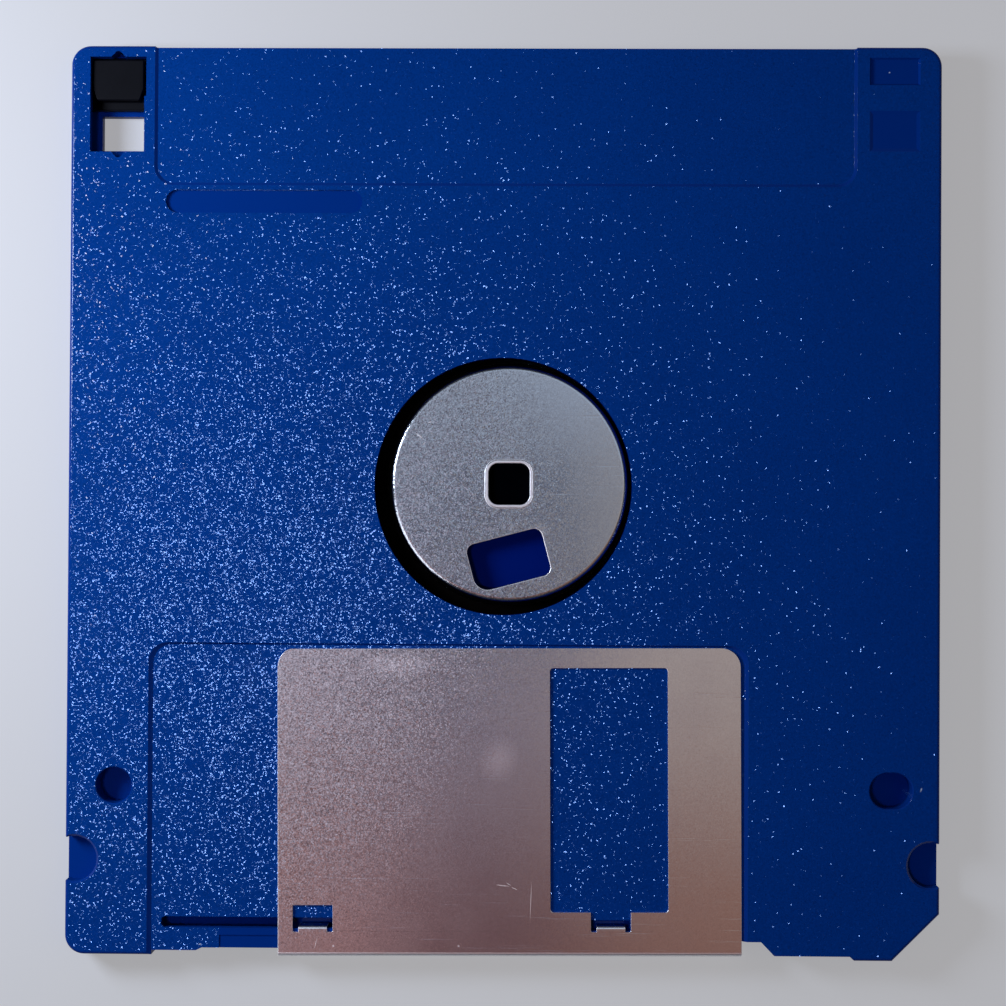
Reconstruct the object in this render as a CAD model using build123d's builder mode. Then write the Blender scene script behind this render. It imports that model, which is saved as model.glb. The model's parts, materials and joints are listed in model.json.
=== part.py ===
from build123d import *
import math
import os

os.makedirs("parts", exist_ok=True)

# A 90 mm flexible disk cartridge, in millimetres, closed and lying on its label side.
# z = 0 is the label face and +Z comes out of the hub side. -Y is the shutter end, which goes
# into a drive first, and the keyed corner is at +X, -Y. The origin is the middle of the outline.
# "Front" is the label side, as makers call it, and "back" is the hub side.

# Magnetic disk and its chamber. The case grows from these.
medium_radius = 42.9
medium_thickness = 0.08
medium_bore_radius = 12.65
medium_play = 0.8            # free ring round the medium
medium_lift = 0.25           # from the front liner up to the medium
disk_shift_x = 0.62          # the disk floats, and lies off centre by this much
disk_shift_y = 0.26

# Case
case_thickness = 3.3
plate_thickness = 1.0
side_wall = 1.3
label_end_wall = 1.8         # from the chamber to the label end
shutter_end_band = 4.8       # from the chamber to the shutter end
inner_wall = 0.9             # ring round the chamber, and ribs
corner_radius = 2.0
key_corner = 4.84
edge_radius = 0.4
pocket_end_wall = 5.2        # keeps the corner pockets clear of the shutter end

# Hub: a stamped cup whose flange is glued under the medium
hub_radius = 12.6            # at the foot of its drafted wall
hub_wall_draft = 0.5         # the wall's top is this much narrower all round
hub_play = 0.685             # free ring between the wall's foot and the hub opening
hub_sink = 0.3               # the hub's face lies this far below the case's face
hub_sheet = 0.3
hub_shoulder = 0.3           # bevel round its face
hub_flange_radius = 15.575
spindle_hole = 4.25
spindle_corner_radius = 1.0
spindle_rim_width = 0.34
spindle_rim_height = 0.06
drive_slot_length = 7.97
drive_slot_width = 4.95
drive_slot_radius = 0.87
drive_slot_wide_radius = 1.5  # of the corner that the drive's pin rides up to
drive_slot_reach = 7.84      # from the hub's axis to the slot's middle
drive_slot_turn = 14.8       # degrees
adhesive_thickness = 0.07
adhesive_margin = 0.35

# Wear plateau and spindle dimple of the front shell, under the hub
plateau_radius = 10.5
plateau_height = 0.3
dimple_radius = 3.4
dimple_depth = 0.6

# Liners and lifter
liner_thickness = 0.3
liner_play = 0.5             # from a liner's rim to the chamber wall
front_liner_gap = 1.4        # from the hub's flange to the front liner
back_liner_gap = 1.0         # from the hub opening to the back liner
liner_window_margin = 0.5
lifter_length = 24.0
lifter_width = 7.0
lifter_thickness = 0.15
lifter_play = 0.25
lifter_depth = 0.2
lifter_side = 20.0           # from the head window's middle to the lifter's middle
lifter_from_rim = 14.9       # from the medium's rim to the lifter's middle, lengthwise

# Head window, through both shells
head_window_width = 9.0
head_window_length = 23.8
head_window_rim = 0.4        # from the medium's rim in to the window's outer end
head_window_radius = 0.5

# Shutter: one folded sheet
sheet = 0.2
shutter_width = 47.7
shutter_travel = 12.5
shutter_skew = 0.45          # degrees that its spring turns it, within the guide's play
shutter_corner_radius = 2.0
fold_radius = 0.45
fold_inset = 0.12            # the fold's middle lies this far inside the case's end
leaf_sink = 0.05             # the leaves lie this far below the case's faces
leaf_gap = 0.03              # between a leaf and the recess that it slides in
stop_gap = 0.51              # left at the open stop, skew included
closed_gap = 0.24            # left at the closed stop, skew included
leaf_end_gap = 0.22
recess_slope_side = 0.45     # how far the recess's edges spread up to the case's face
recess_slope_end = 0.2
window_width = 12.12
window_length = 25.1
window_from_fold = 4.56      # from the fold up to the window
window_radius = 0.4
window_from_right = 7.5      # from the shutter's right edge
window_top = 2.03            # from the window up to the leaves' free edge
window_open_x = -1.4         # where the window's middle comes to lie when open
small_window_width = 4.12
small_window_length = 2.75
small_window_left = 1.53     # from the shutter's left edge
tongue_slit = 0.58           # slits beside a tongue
tongue_relief = 0.3          # slits run this far past the bend
tongue_radius = 0.25
slit_radius = 0.2            # at the slits' blind ends
spring_tongue_depth = 1.9
guide_tongue_depth = 1.15
guide_tongue_shift = 0.15    # from the window's middle

# Guide groove for the tongues, in the back shell
groove_width = 1.12
groove_from_end = 2.83
groove_left = 1.0            # from the shutter recess's open end
groove_depth = 1.3
groove_play = 0.19           # between a tongue and the groove's outer wall
groove_run_out = 0.6

# Shutter end of the case: the steps of its edge, measured back from the full length
nose_setback = 0.47
lip_setback = 0.76
closed_setback = 1.88
nose_length = 4.6
nose_slope = 0.6
closed_step = 1.0            # from the shutter's closed edge back to the deep step
closed_run = 2.09            # from the shutter's closed edge to the slope
closed_slope = 1.35
catch_from_side = 9.17       # from the case's side to the catch slope
catch_slope = 0.5
lip_drop = 0.12              # the smooth lip lies lower than the recess floor
lip_left = 7.0               # from the shutter recess's open end to the smooth lip
lip_shelf = 0.75             # floor left between the groove and the lip

# Label recesses, and the flat that the label folds over
label_from_side = 8.7        # from the case's sides to the recesses
label_radius = 2.0
label_depth = 0.2
label_draft = 58.0           # slope of the recesses' edges, in degrees from upright
label_fold = 14.5            # the recess's length on the hub side
label_from_recess = 5.97     # on the label side, from the shutter's recess to the label's

# Slim finger recess on the hub side
finger_from_label = 1.24     # from the label recess's side
finger_length = 20.33
finger_width = 2.39
finger_from_end = 16.15
finger_depth = 0.3

# Locating holes
hole_from_side = 5.0         # from the case's sides to the holes' middles
hole_from_end = 17.45
hole_radius = 1.85
hole_slot_length = 4.4
hole_lip = 0.1
hole_wall = 1.0

# Grip notches, half the case deep
notch_radius = 2.33
notch_inset = 0.93           # from the case's edge to the notch's middle
notch_from_end = 9.85
notch_flare = 0.3
notch_lip = 0.2

# Write-protect slot, its tab and the hole in the front shell
slot_from_side = 2.0
slot_from_end = 1.17
slot_width = 5.8
slot_length = 9.87
slot_step = 0.2              # the lower part of the slot is this much narrower
slot_upper = 4.1
nib_width = 1.45
nib_depth = 0.75
nib_radius = 0.35
sense_hole_width = 4.77
sense_hole_length = 3.6
sense_hole_side = 2.78       # from the case's side
sense_hole_foot = 0.5        # from the slot's foot
tab_side_play = 0.2
tab_end_play = 0.26
tab_width = 5.24
tab_length = 4.18
tab_flange_side = 0.5
tab_flange_top = 0.35
tab_flange_foot = 0.86
tab_flange_thickness = 0.9
tab_sink = 0.38
tab_chamfer = 0.43
tab_chamfer_length = 1.2
tab_edge_radius = 0.15
tab_play = 0.15              # between the tab's flange and its pocket
tab_floor_gap = 0.04
tab_travel = 4.5

# Shallow recesses opposite the write-protect slot
blank_width = 5.2
blank_middle = 4.86          # from the case's side
blank_upper_length = 2.83
blank_upper_from_end = 1.12
blank_upper_depth = 0.25
blank_upper_draft = 35.0     # slope of its edges, in degrees from upright
blank_lower_length = 4.27
blank_lower_from_end = 6.57
blank_lower_depth = 0.12
blank_lower_draft = 72.0

# Weld posts that hold the shells together
post_radius = 1.0
post_height = 0.3
post_play = 0.05
post_wall = 0.9
post_from_side = 6.2         # the posts on the side of the grip notches' ends
post_from_hole = 5.2         # from the locating holes up to the lower posts
post_from_end = 12.0         # from the label end down to the upper posts
post_from_tab = 2.3          # from the tab's pocket to the post beside it

# Shutter spring: a wire torsion spring in the corner that the shutter opens towards
wire = 0.3
coil_radius = 1.4
coil_turns = 2
coil_pitch = 0.33
coil_from_chamber = 2.78     # from the wall round the chamber to the coil's axis
spring_end_play = 0.12
spring_rest = 0.6            # from the guide groove up to the fixed arm's end
spring_pocket_run = 1.4      # past the spring tongue when closed
spring_pocket_wall = 2.4

# Insertion mark, moulded into the front shell
mark_width = 3.2
mark_length = 3.4
mark_depth = 0.2
mark_from_side = 4.5
mark_from_end = 6.0

# Derived places
chamber_radius = medium_radius + medium_play
case_width = 2 * (chamber_radius + side_wall)
case_length = 2 * chamber_radius + label_end_wall + shutter_end_band
left, right = -case_width / 2, case_width / 2
shutter_end, label_end = -case_length / 2, case_length / 2
opening_y = shutter_end + shutter_end_band + chamber_radius
hub_x, hub_y = disk_shift_x, opening_y + disk_shift_y
parting_z = case_thickness / 2
front_floor_z = plate_thickness
back_floor_z = case_thickness - plate_thickness
medium_z = front_floor_z + liner_thickness + medium_lift
flange_top_z = medium_z - adhesive_thickness
flange_z = flange_top_z - hub_sheet
hub_top_z = case_thickness - hub_sink
opening_radius = hub_radius + hub_play

shutter_right = window_open_x + shutter_travel + window_width / 2 + window_from_right
shutter_left = shutter_right - shutter_width
fold_y = shutter_end + fold_inset
window_end_y = fold_y + window_from_fold
window_top_y = window_end_y + window_length
leaf_top_y = window_top_y + window_top
leaf_high_z = case_thickness - leaf_sink
recess_depth = leaf_sink + sheet + leaf_gap
recess_floor_z = case_thickness - recess_depth
recess_left = shutter_left - shutter_travel - stop_gap
recess_right = shutter_right + closed_gap
recess_top_y = leaf_top_y + leaf_end_gap
window_middle_x = shutter_right - window_from_right - window_width / 2
groove_outer_y = shutter_end + groove_from_end
groove_inner_y = groove_outer_y + groove_width
tongue_face_y = groove_outer_y + groove_play + sheet
bend_y = tongue_face_y - tongue_radius
small_window_middle_x = shutter_left + small_window_left + small_window_width / 2
tongue_width = small_window_width - 2 * tongue_slit
guide_tongue_x = window_middle_x + guide_tongue_shift
groove_left_x = recess_left + groove_left
groove_right_x = guide_tongue_x + tongue_width / 2 + groove_run_out

spring_pocket_left = recess_left + stop_gap
spring_pocket_right = small_window_middle_x + tongue_width / 2 + spring_pocket_run
spring_pocket_end = shutter_end + spring_pocket_wall
head_window_far = medium_radius - head_window_rim
head_window_near = head_window_far - head_window_length
label_width = case_width - 2 * label_from_side
label_foot = recess_top_y + label_from_recess
catch_left = right - catch_from_side
finger_left = -label_width / 2 + finger_from_label
lifter_y = opening_y - medium_radius + lifter_from_rim
hole_spread = right - hole_from_side
hole_y = shutter_end + hole_from_end
notch_y = shutter_end + notch_from_end
slot_left = left + slot_from_side
slot_right = slot_left + slot_width
slot_top = label_end - slot_from_end
slot_foot = slot_top - slot_length
tab_left = slot_left + tab_side_play
tab_top = slot_top - tab_end_play
tab_foot = tab_top - tab_length
tab_flange_left = tab_left - tab_flange_side
tab_flange_right = tab_left + tab_width + tab_flange_side
tab_flange_high = tab_top + tab_flange_top
tab_flange_low = tab_foot - tab_flange_foot
tab_z = front_floor_z + tab_floor_gap
weld_posts = [
    (tab_flange_right + inner_wall + post_from_tab, label_end - post_from_end),
    (right - post_from_side, label_end - post_from_end),
    (left + post_from_side, hole_y + post_from_hole),
    (right - post_from_side, hole_y + post_from_hole),
]


def lay_rectangle(x_low, x_high, y_low, y_high, mode=Mode.ADD):
    """A rectangle between two corners, in the sketch that is open."""
    with Locations(((x_low + x_high) / 2, (y_low + y_high) / 2)):
        Rectangle(x_high - x_low, y_high - y_low, mode=mode)


def corners_near(sketch, *points):
    """The sketch's own corners that lie nearest the points."""
    return [sketch.vertices().sort_by_distance(Vector(*point))[0] for point in points]


# Plan of the case before its ends are stepped: three round corners and the keyed one
with BuildSketch() as case_outline:
    lay_rectangle(left, right, shutter_end, label_end)
    chamfer(corners_near(case_outline, (right, shutter_end)), key_corner)
    fillet(
        corners_near(case_outline, (left, shutter_end), (left, label_end), (right, label_end)),
        corner_radius,
    )

# What the shutter end loses: the fold runs over the steps, and the full length at both sides
# stops it and guards it. The label end is set back where the label folds over it.
lip_x = recess_left + nose_length
deep_x = shutter_right - closed_step
catch_x = shutter_right + closed_run
with BuildSketch() as end_steps:
    with BuildLine():
        Polyline(
            (recess_left, shutter_end - corner_radius),
            (recess_left, shutter_end + nose_setback),
            (lip_x, shutter_end + nose_setback),
            (lip_x + nose_slope, shutter_end + lip_setback),
            (deep_x, shutter_end + lip_setback),
            (deep_x, shutter_end + closed_setback),
            (catch_x, shutter_end + closed_setback),
            (catch_x + closed_slope, shutter_end + nose_setback),
            (catch_left, shutter_end + nose_setback),
            (catch_left + catch_slope, shutter_end),
            (catch_left + catch_slope, shutter_end - corner_radius),
            close=True,
        )
    make_face()
    lay_rectangle(-label_width / 2, label_width / 2, label_end - label_depth, label_end + 1)

# Places inside the case that are hollow beside the chamber: the four corners and the spring's
# pocket, less the walls and bosses that stand in them
with BuildSketch() as pockets:
    lay_rectangle(
        left + side_wall, right - side_wall, shutter_end + pocket_end_wall, label_end - side_wall
    )
    lay_rectangle(
        spring_pocket_left - inner_wall,
        spring_pocket_left,
        shutter_end,
        opening_y,
        mode=Mode.SUBTRACT,
    )
    lay_rectangle(spring_pocket_left, spring_pocket_right, spring_pocket_end, opening_y)
    with Locations((0, opening_y)):
        Circle(chamber_radius + inner_wall, mode=Mode.SUBTRACT)
    with Locations((-hole_spread, hole_y)):
        Circle(hole_radius + hole_wall, mode=Mode.SUBTRACT)
    with Locations((hole_spread, hole_y)):
        SlotOverall(
            hole_slot_length + 2 * hole_wall, 2 * (hole_radius + hole_wall), mode=Mode.SUBTRACT
        )
    with Locations((left + notch_inset, notch_y), (right - notch_inset, notch_y)):
        Circle(notch_radius + inner_wall, mode=Mode.SUBTRACT)
    with Locations(weld_posts):
        Circle(post_radius + post_wall, mode=Mode.SUBTRACT)
    lay_rectangle(
        left,
        tab_flange_right + tab_play + inner_wall,
        tab_flange_low - tab_travel - tab_play - inner_wall,
        label_end,
        mode=Mode.SUBTRACT,
    )

# The tab's own pocket, which its flange slides in under the back plate
with BuildSketch() as tab_pocket:
    lay_rectangle(
        tab_flange_left - tab_play,
        tab_flange_right + tab_play,
        tab_flange_low - tab_travel - tab_play,
        tab_flange_high + tab_play,
    )

# The shutter's recess, alike on both faces: its floor and its wider mouth
with BuildSketch() as recess_floor:
    lay_rectangle(recess_left, recess_right, shutter_end - 1, recess_top_y)
    fillet(
        corners_near(recess_floor, (recess_left, recess_top_y), (recess_right, recess_top_y)),
        shutter_corner_radius,
    )
mouth_left, mouth_right = recess_left - recess_slope_side, recess_right + recess_slope_side
mouth_top_y = recess_top_y + recess_slope_end
with BuildSketch() as recess_mouth:
    lay_rectangle(mouth_left, mouth_right, shutter_end - 1, mouth_top_y)
    fillet(
        corners_near(recess_mouth, (mouth_left, mouth_top_y), (mouth_right, mouth_top_y)),
        shutter_corner_radius,
    )
with BuildSketch() as head_window:
    lay_rectangle(
        -head_window_width / 2,
        head_window_width / 2,
        opening_y - head_window_far,
        opening_y - head_window_near,
    )
    fillet(head_window.vertices(), head_window_radius)

# Front shell, on the label side
with BuildPart() as front_shell:
    with BuildSketch():
        add(case_outline.sketch)
    extrude(amount=parting_z)
    fillet(front_shell.faces().sort_by(Axis.Z)[0].edges(), edge_radius)
    with BuildSketch():
        add(end_steps.sketch)
    extrude(amount=case_thickness, mode=Mode.SUBTRACT)
    # Chamber and pockets, with the wear plateau left standing under the hub
    with BuildSketch(Plane.XY.offset(front_floor_z)):
        with Locations((0, opening_y)):
            Circle(chamber_radius)
        add(pockets.sketch)
        add(tab_pocket.sketch)
    extrude(amount=case_thickness, mode=Mode.SUBTRACT)
    with BuildSketch(Plane.XY.offset(front_floor_z)):
        with Locations((0, opening_y)):
            Circle(plateau_radius)
    extrude(amount=plateau_height)
    with BuildSketch(Plane.XY.offset(front_floor_z + plateau_height)):
        with Locations((0, opening_y)):
            Circle(dimple_radius)
    extrude(amount=-(plateau_height + dimple_depth), mode=Mode.SUBTRACT)
    # Bed of the lifter, beside the head window
    with BuildSketch(Plane.XY.offset(front_floor_z)):
        with Locations((-lifter_side, lifter_y)):
            Rectangle(lifter_length + 2 * lifter_play, lifter_width + 2 * lifter_play)
    extrude(amount=-lifter_depth, mode=Mode.SUBTRACT)
    # Blind ends of the locating holes
    with BuildSketch(Plane.XY.offset(front_floor_z)):
        with Locations((-hole_spread, hole_y)):
            Circle(hole_radius)
        with Locations((hole_spread, hole_y)):
            SlotOverall(hole_slot_length, 2 * hole_radius)
    extrude(amount=case_thickness, mode=Mode.SUBTRACT)
    # Posts that weld into the back shell's sockets
    with BuildSketch(Plane.XY.offset(front_floor_z)):
        with Locations(weld_posts):
            Circle(post_radius)
    extrude(amount=parting_z + post_height - front_floor_z)
    # Through the plate: the head window and the write-protect sensor's hole
    with BuildSketch():
        add(head_window.sketch)
        lay_rectangle(
            left + sense_hole_side,
            left + sense_hole_side + sense_hole_width,
            slot_foot + sense_hole_foot,
            slot_foot + sense_hole_foot + sense_hole_length,
        )
    extrude(amount=case_thickness, mode=Mode.SUBTRACT)
    # Outer face: the shutter's recess, the label's recess and the insertion mark
    with BuildSketch():
        add(recess_mouth.sketch)
    with BuildSketch(Plane.XY.offset(recess_depth)):
        add(recess_floor.sketch)
    loft(ruled=True, mode=Mode.SUBTRACT)
    with BuildSketch() as front_label:
        lay_rectangle(-label_width / 2, label_width / 2, label_foot, label_end + 1)
        fillet(
            corners_near(
                front_label, (-label_width / 2, label_foot), (label_width / 2, label_foot)
            ),
            label_radius,
        )
    extrude(amount=label_depth, taper=label_draft, mode=Mode.SUBTRACT)
    mark_x, mark_y = left + mark_from_side, shutter_end + mark_from_end
    with BuildSketch():
        with BuildLine():
            Polyline(
                (mark_x, mark_y - mark_length / 2),
                (mark_x + mark_width / 2, mark_y + mark_length / 2),
                (mark_x - mark_width / 2, mark_y + mark_length / 2),
                close=True,
            )
        make_face()
    extrude(amount=mark_depth, mode=Mode.SUBTRACT)
front_shell.part.label = "front_shell"

# Back shell, on the hub side
with BuildPart() as back_shell:
    with BuildSketch(Plane.XY.offset(parting_z)):
        add(case_outline.sketch)
    extrude(amount=case_thickness - parting_z)
    fillet(back_shell.faces().sort_by(Axis.Z)[-1].edges(), edge_radius)
    # Grip notches: round bays, half the case deep, whose mouths flare at the case's edge
    with BuildSketch(Plane.XY.offset(parting_z)):
        for side in (left, right):
            inwards = math.copysign(1, -side)
            with Locations((side + inwards * notch_inset, notch_y)):
                Circle(notch_radius)
            mouth = math.sqrt(notch_radius**2 - notch_inset**2)
            with BuildLine():
                Polyline(
                    (side - inwards, notch_y - mouth - notch_flare - 1),
                    (side + inwards * notch_flare, notch_y - mouth + notch_flare / 2),
                    (side + inwards * notch_flare, notch_y + mouth - notch_flare / 2),
                    (side - inwards, notch_y + mouth + notch_flare + 1),
                    close=True,
                )
            make_face()
    extrude(amount=case_thickness, mode=Mode.SUBTRACT)
    with BuildSketch():
        add(end_steps.sketch)
    extrude(amount=case_thickness, mode=Mode.SUBTRACT)
    # Chamber and pockets
    with BuildSketch():
        with Locations((0, opening_y)):
            Circle(chamber_radius)
        add(pockets.sketch)
        add(tab_pocket.sketch)
    extrude(amount=back_floor_z, mode=Mode.SUBTRACT)
    # Sockets for the weld posts
    with BuildSketch(Plane.XY.offset(parting_z)):
        with Locations(weld_posts):
            Circle(post_radius + post_play)
    extrude(amount=post_height + post_play, mode=Mode.SUBTRACT)
    # Hub opening and head window
    with BuildSketch(Plane.XY.offset(parting_z)):
        with Locations((0, opening_y)):
            Circle(opening_radius)
        add(head_window.sketch)
    extrude(amount=case_thickness, mode=Mode.SUBTRACT)
    # Locating holes, round on one side and long on the other
    with BuildSketch(Plane.XY.offset(parting_z)):
        with Locations((-hole_spread, hole_y)):
            Circle(hole_radius)
        with Locations((hole_spread, hole_y)):
            SlotOverall(hole_slot_length, 2 * hole_radius)
    extrude(amount=case_thickness, mode=Mode.SUBTRACT)
    # Write-protect slot, with a nib-shaped bite at each end
    with BuildSketch(Plane.XY.offset(parting_z)):
        lay_rectangle(slot_left, slot_right, slot_top - slot_upper, slot_top)
        lay_rectangle(slot_left, slot_right - slot_step, slot_foot, slot_top)
    extrude(amount=case_thickness, mode=Mode.SUBTRACT)
    slot_middle = (slot_left + slot_right) / 2
    with BuildSketch(Plane.XY.offset(parting_z)) as nibs:
        for edge_y, outwards in ((slot_top, 1), (slot_foot, -1)):
            with BuildLine():
                Polyline(
                    (slot_middle - nib_width, edge_y - outwards * nib_depth),
                    (slot_middle, edge_y + outwards * nib_depth),
                    (slot_middle + nib_width, edge_y - outwards * nib_depth),
                    close=True,
                )
            make_face()
        fillet(
            corners_near(
                nibs, (slot_middle, slot_top + nib_depth), (slot_middle, slot_foot - nib_depth)
            ),
            nib_radius,
        )
    extrude(amount=case_thickness, mode=Mode.SUBTRACT)
    # Shutter's recess, the lower smooth lip at its end and the guide groove
    with BuildSketch(Plane.XY.offset(recess_floor_z)):
        add(recess_floor.sketch)
    with BuildSketch(Plane.XY.offset(case_thickness)):
        add(recess_mouth.sketch)
    loft(ruled=True, mode=Mode.SUBTRACT)
    with BuildSketch(Plane.XY.offset(recess_floor_z)):
        lay_rectangle(
            recess_left + lip_left, recess_right, shutter_end - 1, groove_outer_y - lip_shelf
        )
    extrude(amount=-lip_drop, mode=Mode.SUBTRACT)
    with BuildSketch(Plane.XY.offset(recess_floor_z)) as groove:
        lay_rectangle(groove_left_x, groove_right_x, groove_outer_y, groove_inner_y)
        fillet(
            corners_near(groove, (groove_left_x, groove_outer_y), (groove_left_x, groove_inner_y)),
            groove_width * 0.4,
        )
    extrude(amount=-groove_depth, mode=Mode.SUBTRACT)
    # Label's recess, which runs out over the label end
    with BuildSketch(Plane.XY.offset(case_thickness)) as back_label:
        lay_rectangle(-label_width / 2, label_width / 2, label_end - label_fold, label_end + 1)
        fillet(
            corners_near(
                back_label,
                (-label_width / 2, label_end - label_fold),
                (label_width / 2, label_end - label_fold),
            ),
            label_radius,
        )
    extrude(amount=-label_depth, taper=label_draft, mode=Mode.SUBTRACT)
    # Finger recess
    with BuildSketch(Plane.XY.offset(case_thickness)):
        with Locations((finger_left + finger_length / 2, label_end - finger_from_end)):
            SlotOverall(finger_length, finger_width)
    extrude(amount=-finger_depth, mode=Mode.SUBTRACT)
    # Blank recesses where other disks have a slider and a second sensor hole
    for length, from_end, depth, draft in (
        (blank_upper_length, blank_upper_from_end, blank_upper_depth, blank_upper_draft),
        (blank_lower_length, blank_lower_from_end, blank_lower_depth, blank_lower_draft),
    ):
        with BuildSketch(Plane.XY.offset(case_thickness)):
            with Locations((right - blank_middle, label_end - from_end - length / 2)):
                Rectangle(blank_width, length)
        extrude(amount=-depth, taper=draft, mode=Mode.SUBTRACT)
    # Broken lips of the locating holes and of the grip notches
    with BuildSketch(Plane.XY.offset(case_thickness)):
        with Locations((-hole_spread, hole_y)):
            Circle(hole_radius + hole_lip)
        with Locations((hole_spread, hole_y)):
            SlotOverall(hole_slot_length + 2 * hole_lip, 2 * (hole_radius + hole_lip))
    extrude(amount=-hole_lip, taper=45, mode=Mode.SUBTRACT)
    with BuildSketch(Plane.XY.offset(case_thickness)):
        with Locations((left + notch_inset, notch_y), (right - notch_inset, notch_y)):
            Circle(notch_radius + notch_lip)
    extrude(amount=-notch_lip, taper=45, mode=Mode.SUBTRACT)
back_shell.part.label = "back_shell"

# Liners: soft non-woven rings, open at the hub and at the head window
with BuildSketch() as liner_window:
    lay_rectangle(
        -head_window_width / 2 - liner_window_margin,
        head_window_width / 2 + liner_window_margin,
        opening_y - chamber_radius,
        opening_y - head_window_near + liner_window_margin,
    )
with BuildPart() as front_liner:
    with BuildSketch(Plane.XY.offset(front_floor_z)):
        with Locations((0, opening_y)):
            Circle(chamber_radius - liner_play)
            Circle(hub_flange_radius + front_liner_gap, mode=Mode.SUBTRACT)
        add(liner_window.sketch, mode=Mode.SUBTRACT)
    extrude(amount=liner_thickness)
front_liner.part.label = "front_liner"

with BuildPart() as back_liner:
    with BuildSketch(Plane.XY.offset(back_floor_z)):
        with Locations((0, opening_y)):
            Circle(chamber_radius - liner_play)
            Circle(opening_radius + back_liner_gap, mode=Mode.SUBTRACT)
        add(liner_window.sketch, mode=Mode.SUBTRACT)
    extrude(amount=-liner_thickness)
back_liner.part.label = "back_liner"

# Lifter: a thin leaf under the front liner that presses it to the medium
with BuildPart() as lifter:
    with BuildSketch(Plane.XY.offset(front_floor_z - lifter_depth)):
        with Locations((-lifter_side, lifter_y)):
            RectangleRounded(lifter_length, lifter_width, lifter_width / 8)
    extrude(amount=lifter_thickness)
lifter.part.label = "lifter"

# Magnetic disk
with BuildPart() as magnetic_disk:
    with BuildSketch(Plane.XY.offset(medium_z)):
        with Locations((hub_x, hub_y)):
            Circle(medium_radius)
            Circle(medium_bore_radius, mode=Mode.SUBTRACT)
    extrude(amount=medium_thickness)
magnetic_disk.part.label = "magnetic_disk"

# Adhesive ring between the hub's flange and the medium
with BuildPart() as hub_adhesive:
    with BuildSketch(Plane.XY.offset(flange_top_z)):
        with Locations((hub_x, hub_y)):
            Circle(hub_flange_radius - adhesive_margin)
            Circle(medium_bore_radius + adhesive_margin, mode=Mode.SUBTRACT)
    extrude(amount=adhesive_thickness)
hub_adhesive.part.label = "hub_adhesive"

# Hub: half its section, turned about the spindle's axis
with BuildPart() as hub:
    with BuildSketch(Plane((hub_x, hub_y, 0), x_dir=(1, 0, 0), z_dir=(0, -1, 0))) as section:
        with BuildLine():
            Polyline(
                (0, hub_top_z),
                (hub_radius - hub_wall_draft, hub_top_z),
                (hub_radius, flange_top_z),
                (hub_flange_radius, flange_top_z),
                (hub_flange_radius, flange_z),
                (hub_radius - hub_sheet, flange_z),
                (hub_radius - hub_wall_draft - hub_sheet, hub_top_z - hub_sheet),
                (0, hub_top_z - hub_sheet),
                close=True,
            )
        make_face()
        chamfer(corners_near(section, (hub_radius - hub_wall_draft, hub_top_z)), hub_shoulder)
    revolve(axis=Axis((hub_x, hub_y, 0), (0, 0, 1)))
    # Raised rim round the spindle hole, coined smooth by the punch
    with BuildSketch(Plane((hub_x, hub_y, hub_top_z))):
        RectangleRounded(
            spindle_hole + 2 * spindle_rim_width,
            spindle_hole + 2 * spindle_rim_width,
            spindle_corner_radius + spindle_rim_width,
        )
    extrude(amount=spindle_rim_height)
    chamfer(hub.faces().sort_by(Axis.Z)[-1].edges(), spindle_rim_height * 0.8)
    with BuildSketch(Plane((hub_x, hub_y, flange_z))) as hub_holes:
        with Locations(Location((0, -drive_slot_reach, 0), (0, 0, drive_slot_turn))):
            Rectangle(drive_slot_length, drive_slot_width)
        slot_corners = hub_holes.vertices().sort_by(Axis.Y)
        fillet(slot_corners[1:], drive_slot_radius)
        fillet(hub_holes.vertices().sort_by_distance(slot_corners[0])[0], drive_slot_wide_radius)
        RectangleRounded(spindle_hole, spindle_hole, spindle_corner_radius)
    extrude(amount=case_thickness, mode=Mode.SUBTRACT)
hub.part.label = "hub"

# Shutter: a strip folded over the case's end, so that a leaf lies on each face
with BuildPart() as shutter:
    with BuildSketch(Plane.YZ.offset(shutter_left)):
        with BuildLine():
            FilletPolyline(
                (leaf_top_y, leaf_high_z),
                (fold_y, leaf_high_z),
                (fold_y, leaf_sink),
                (leaf_top_y, leaf_sink),
                radius=fold_radius,
            )
            offset(amount=sheet, side=Side.LEFT)
        make_face()
    extrude(amount=shutter_width)
    fillet(
        shutter.edges().filter_by(Axis.Z).group_by(Axis.Y)[-1],
        shutter_corner_radius,
    )
    # Head window, through both leaves
    with BuildSketch():
        with Locations((window_middle_x, (window_top_y + window_end_y) / 2)):
            RectangleRounded(window_width, window_length, window_radius)
    extrude(amount=case_thickness, mode=Mode.SUBTRACT)
    # Two lanced windows in the back leaf, whose tongues turn down into the guide groove
    with BuildSketch(Plane.XY.offset(leaf_high_z)) as lances:
        slit_foot = bend_y - tongue_relief
        for middle, top in (
            (small_window_middle_x, slit_foot + small_window_length),
            (guide_tongue_x, window_end_y + window_radius),
        ):
            half = small_window_width / 2
            lay_rectangle(middle - half, middle + half, slit_foot, top)
            slit_ends = corners_near(lances, (middle - half, slit_foot), (middle + half, slit_foot))
            fillet(slit_ends, slit_radius)
            root = tongue_width / 2
            lay_rectangle(middle - root, middle + root, slit_foot, bend_y, mode=Mode.SUBTRACT)
    extrude(amount=-2 * sheet, mode=Mode.SUBTRACT)
    for middle, depth in (
        (small_window_middle_x, spring_tongue_depth),
        (guide_tongue_x, guide_tongue_depth),
    ):
        with BuildSketch(Plane.YZ.offset(middle - tongue_width / 2)):
            with BuildLine():
                FilletPolyline(
                    (slit_foot, leaf_high_z),
                    (tongue_face_y, leaf_high_z),
                    (tongue_face_y, leaf_high_z - depth),
                    radius=tongue_radius,
                )
                offset(amount=sheet, side=Side.RIGHT)
            make_face()
        extrude(amount=tongue_width)
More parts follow.
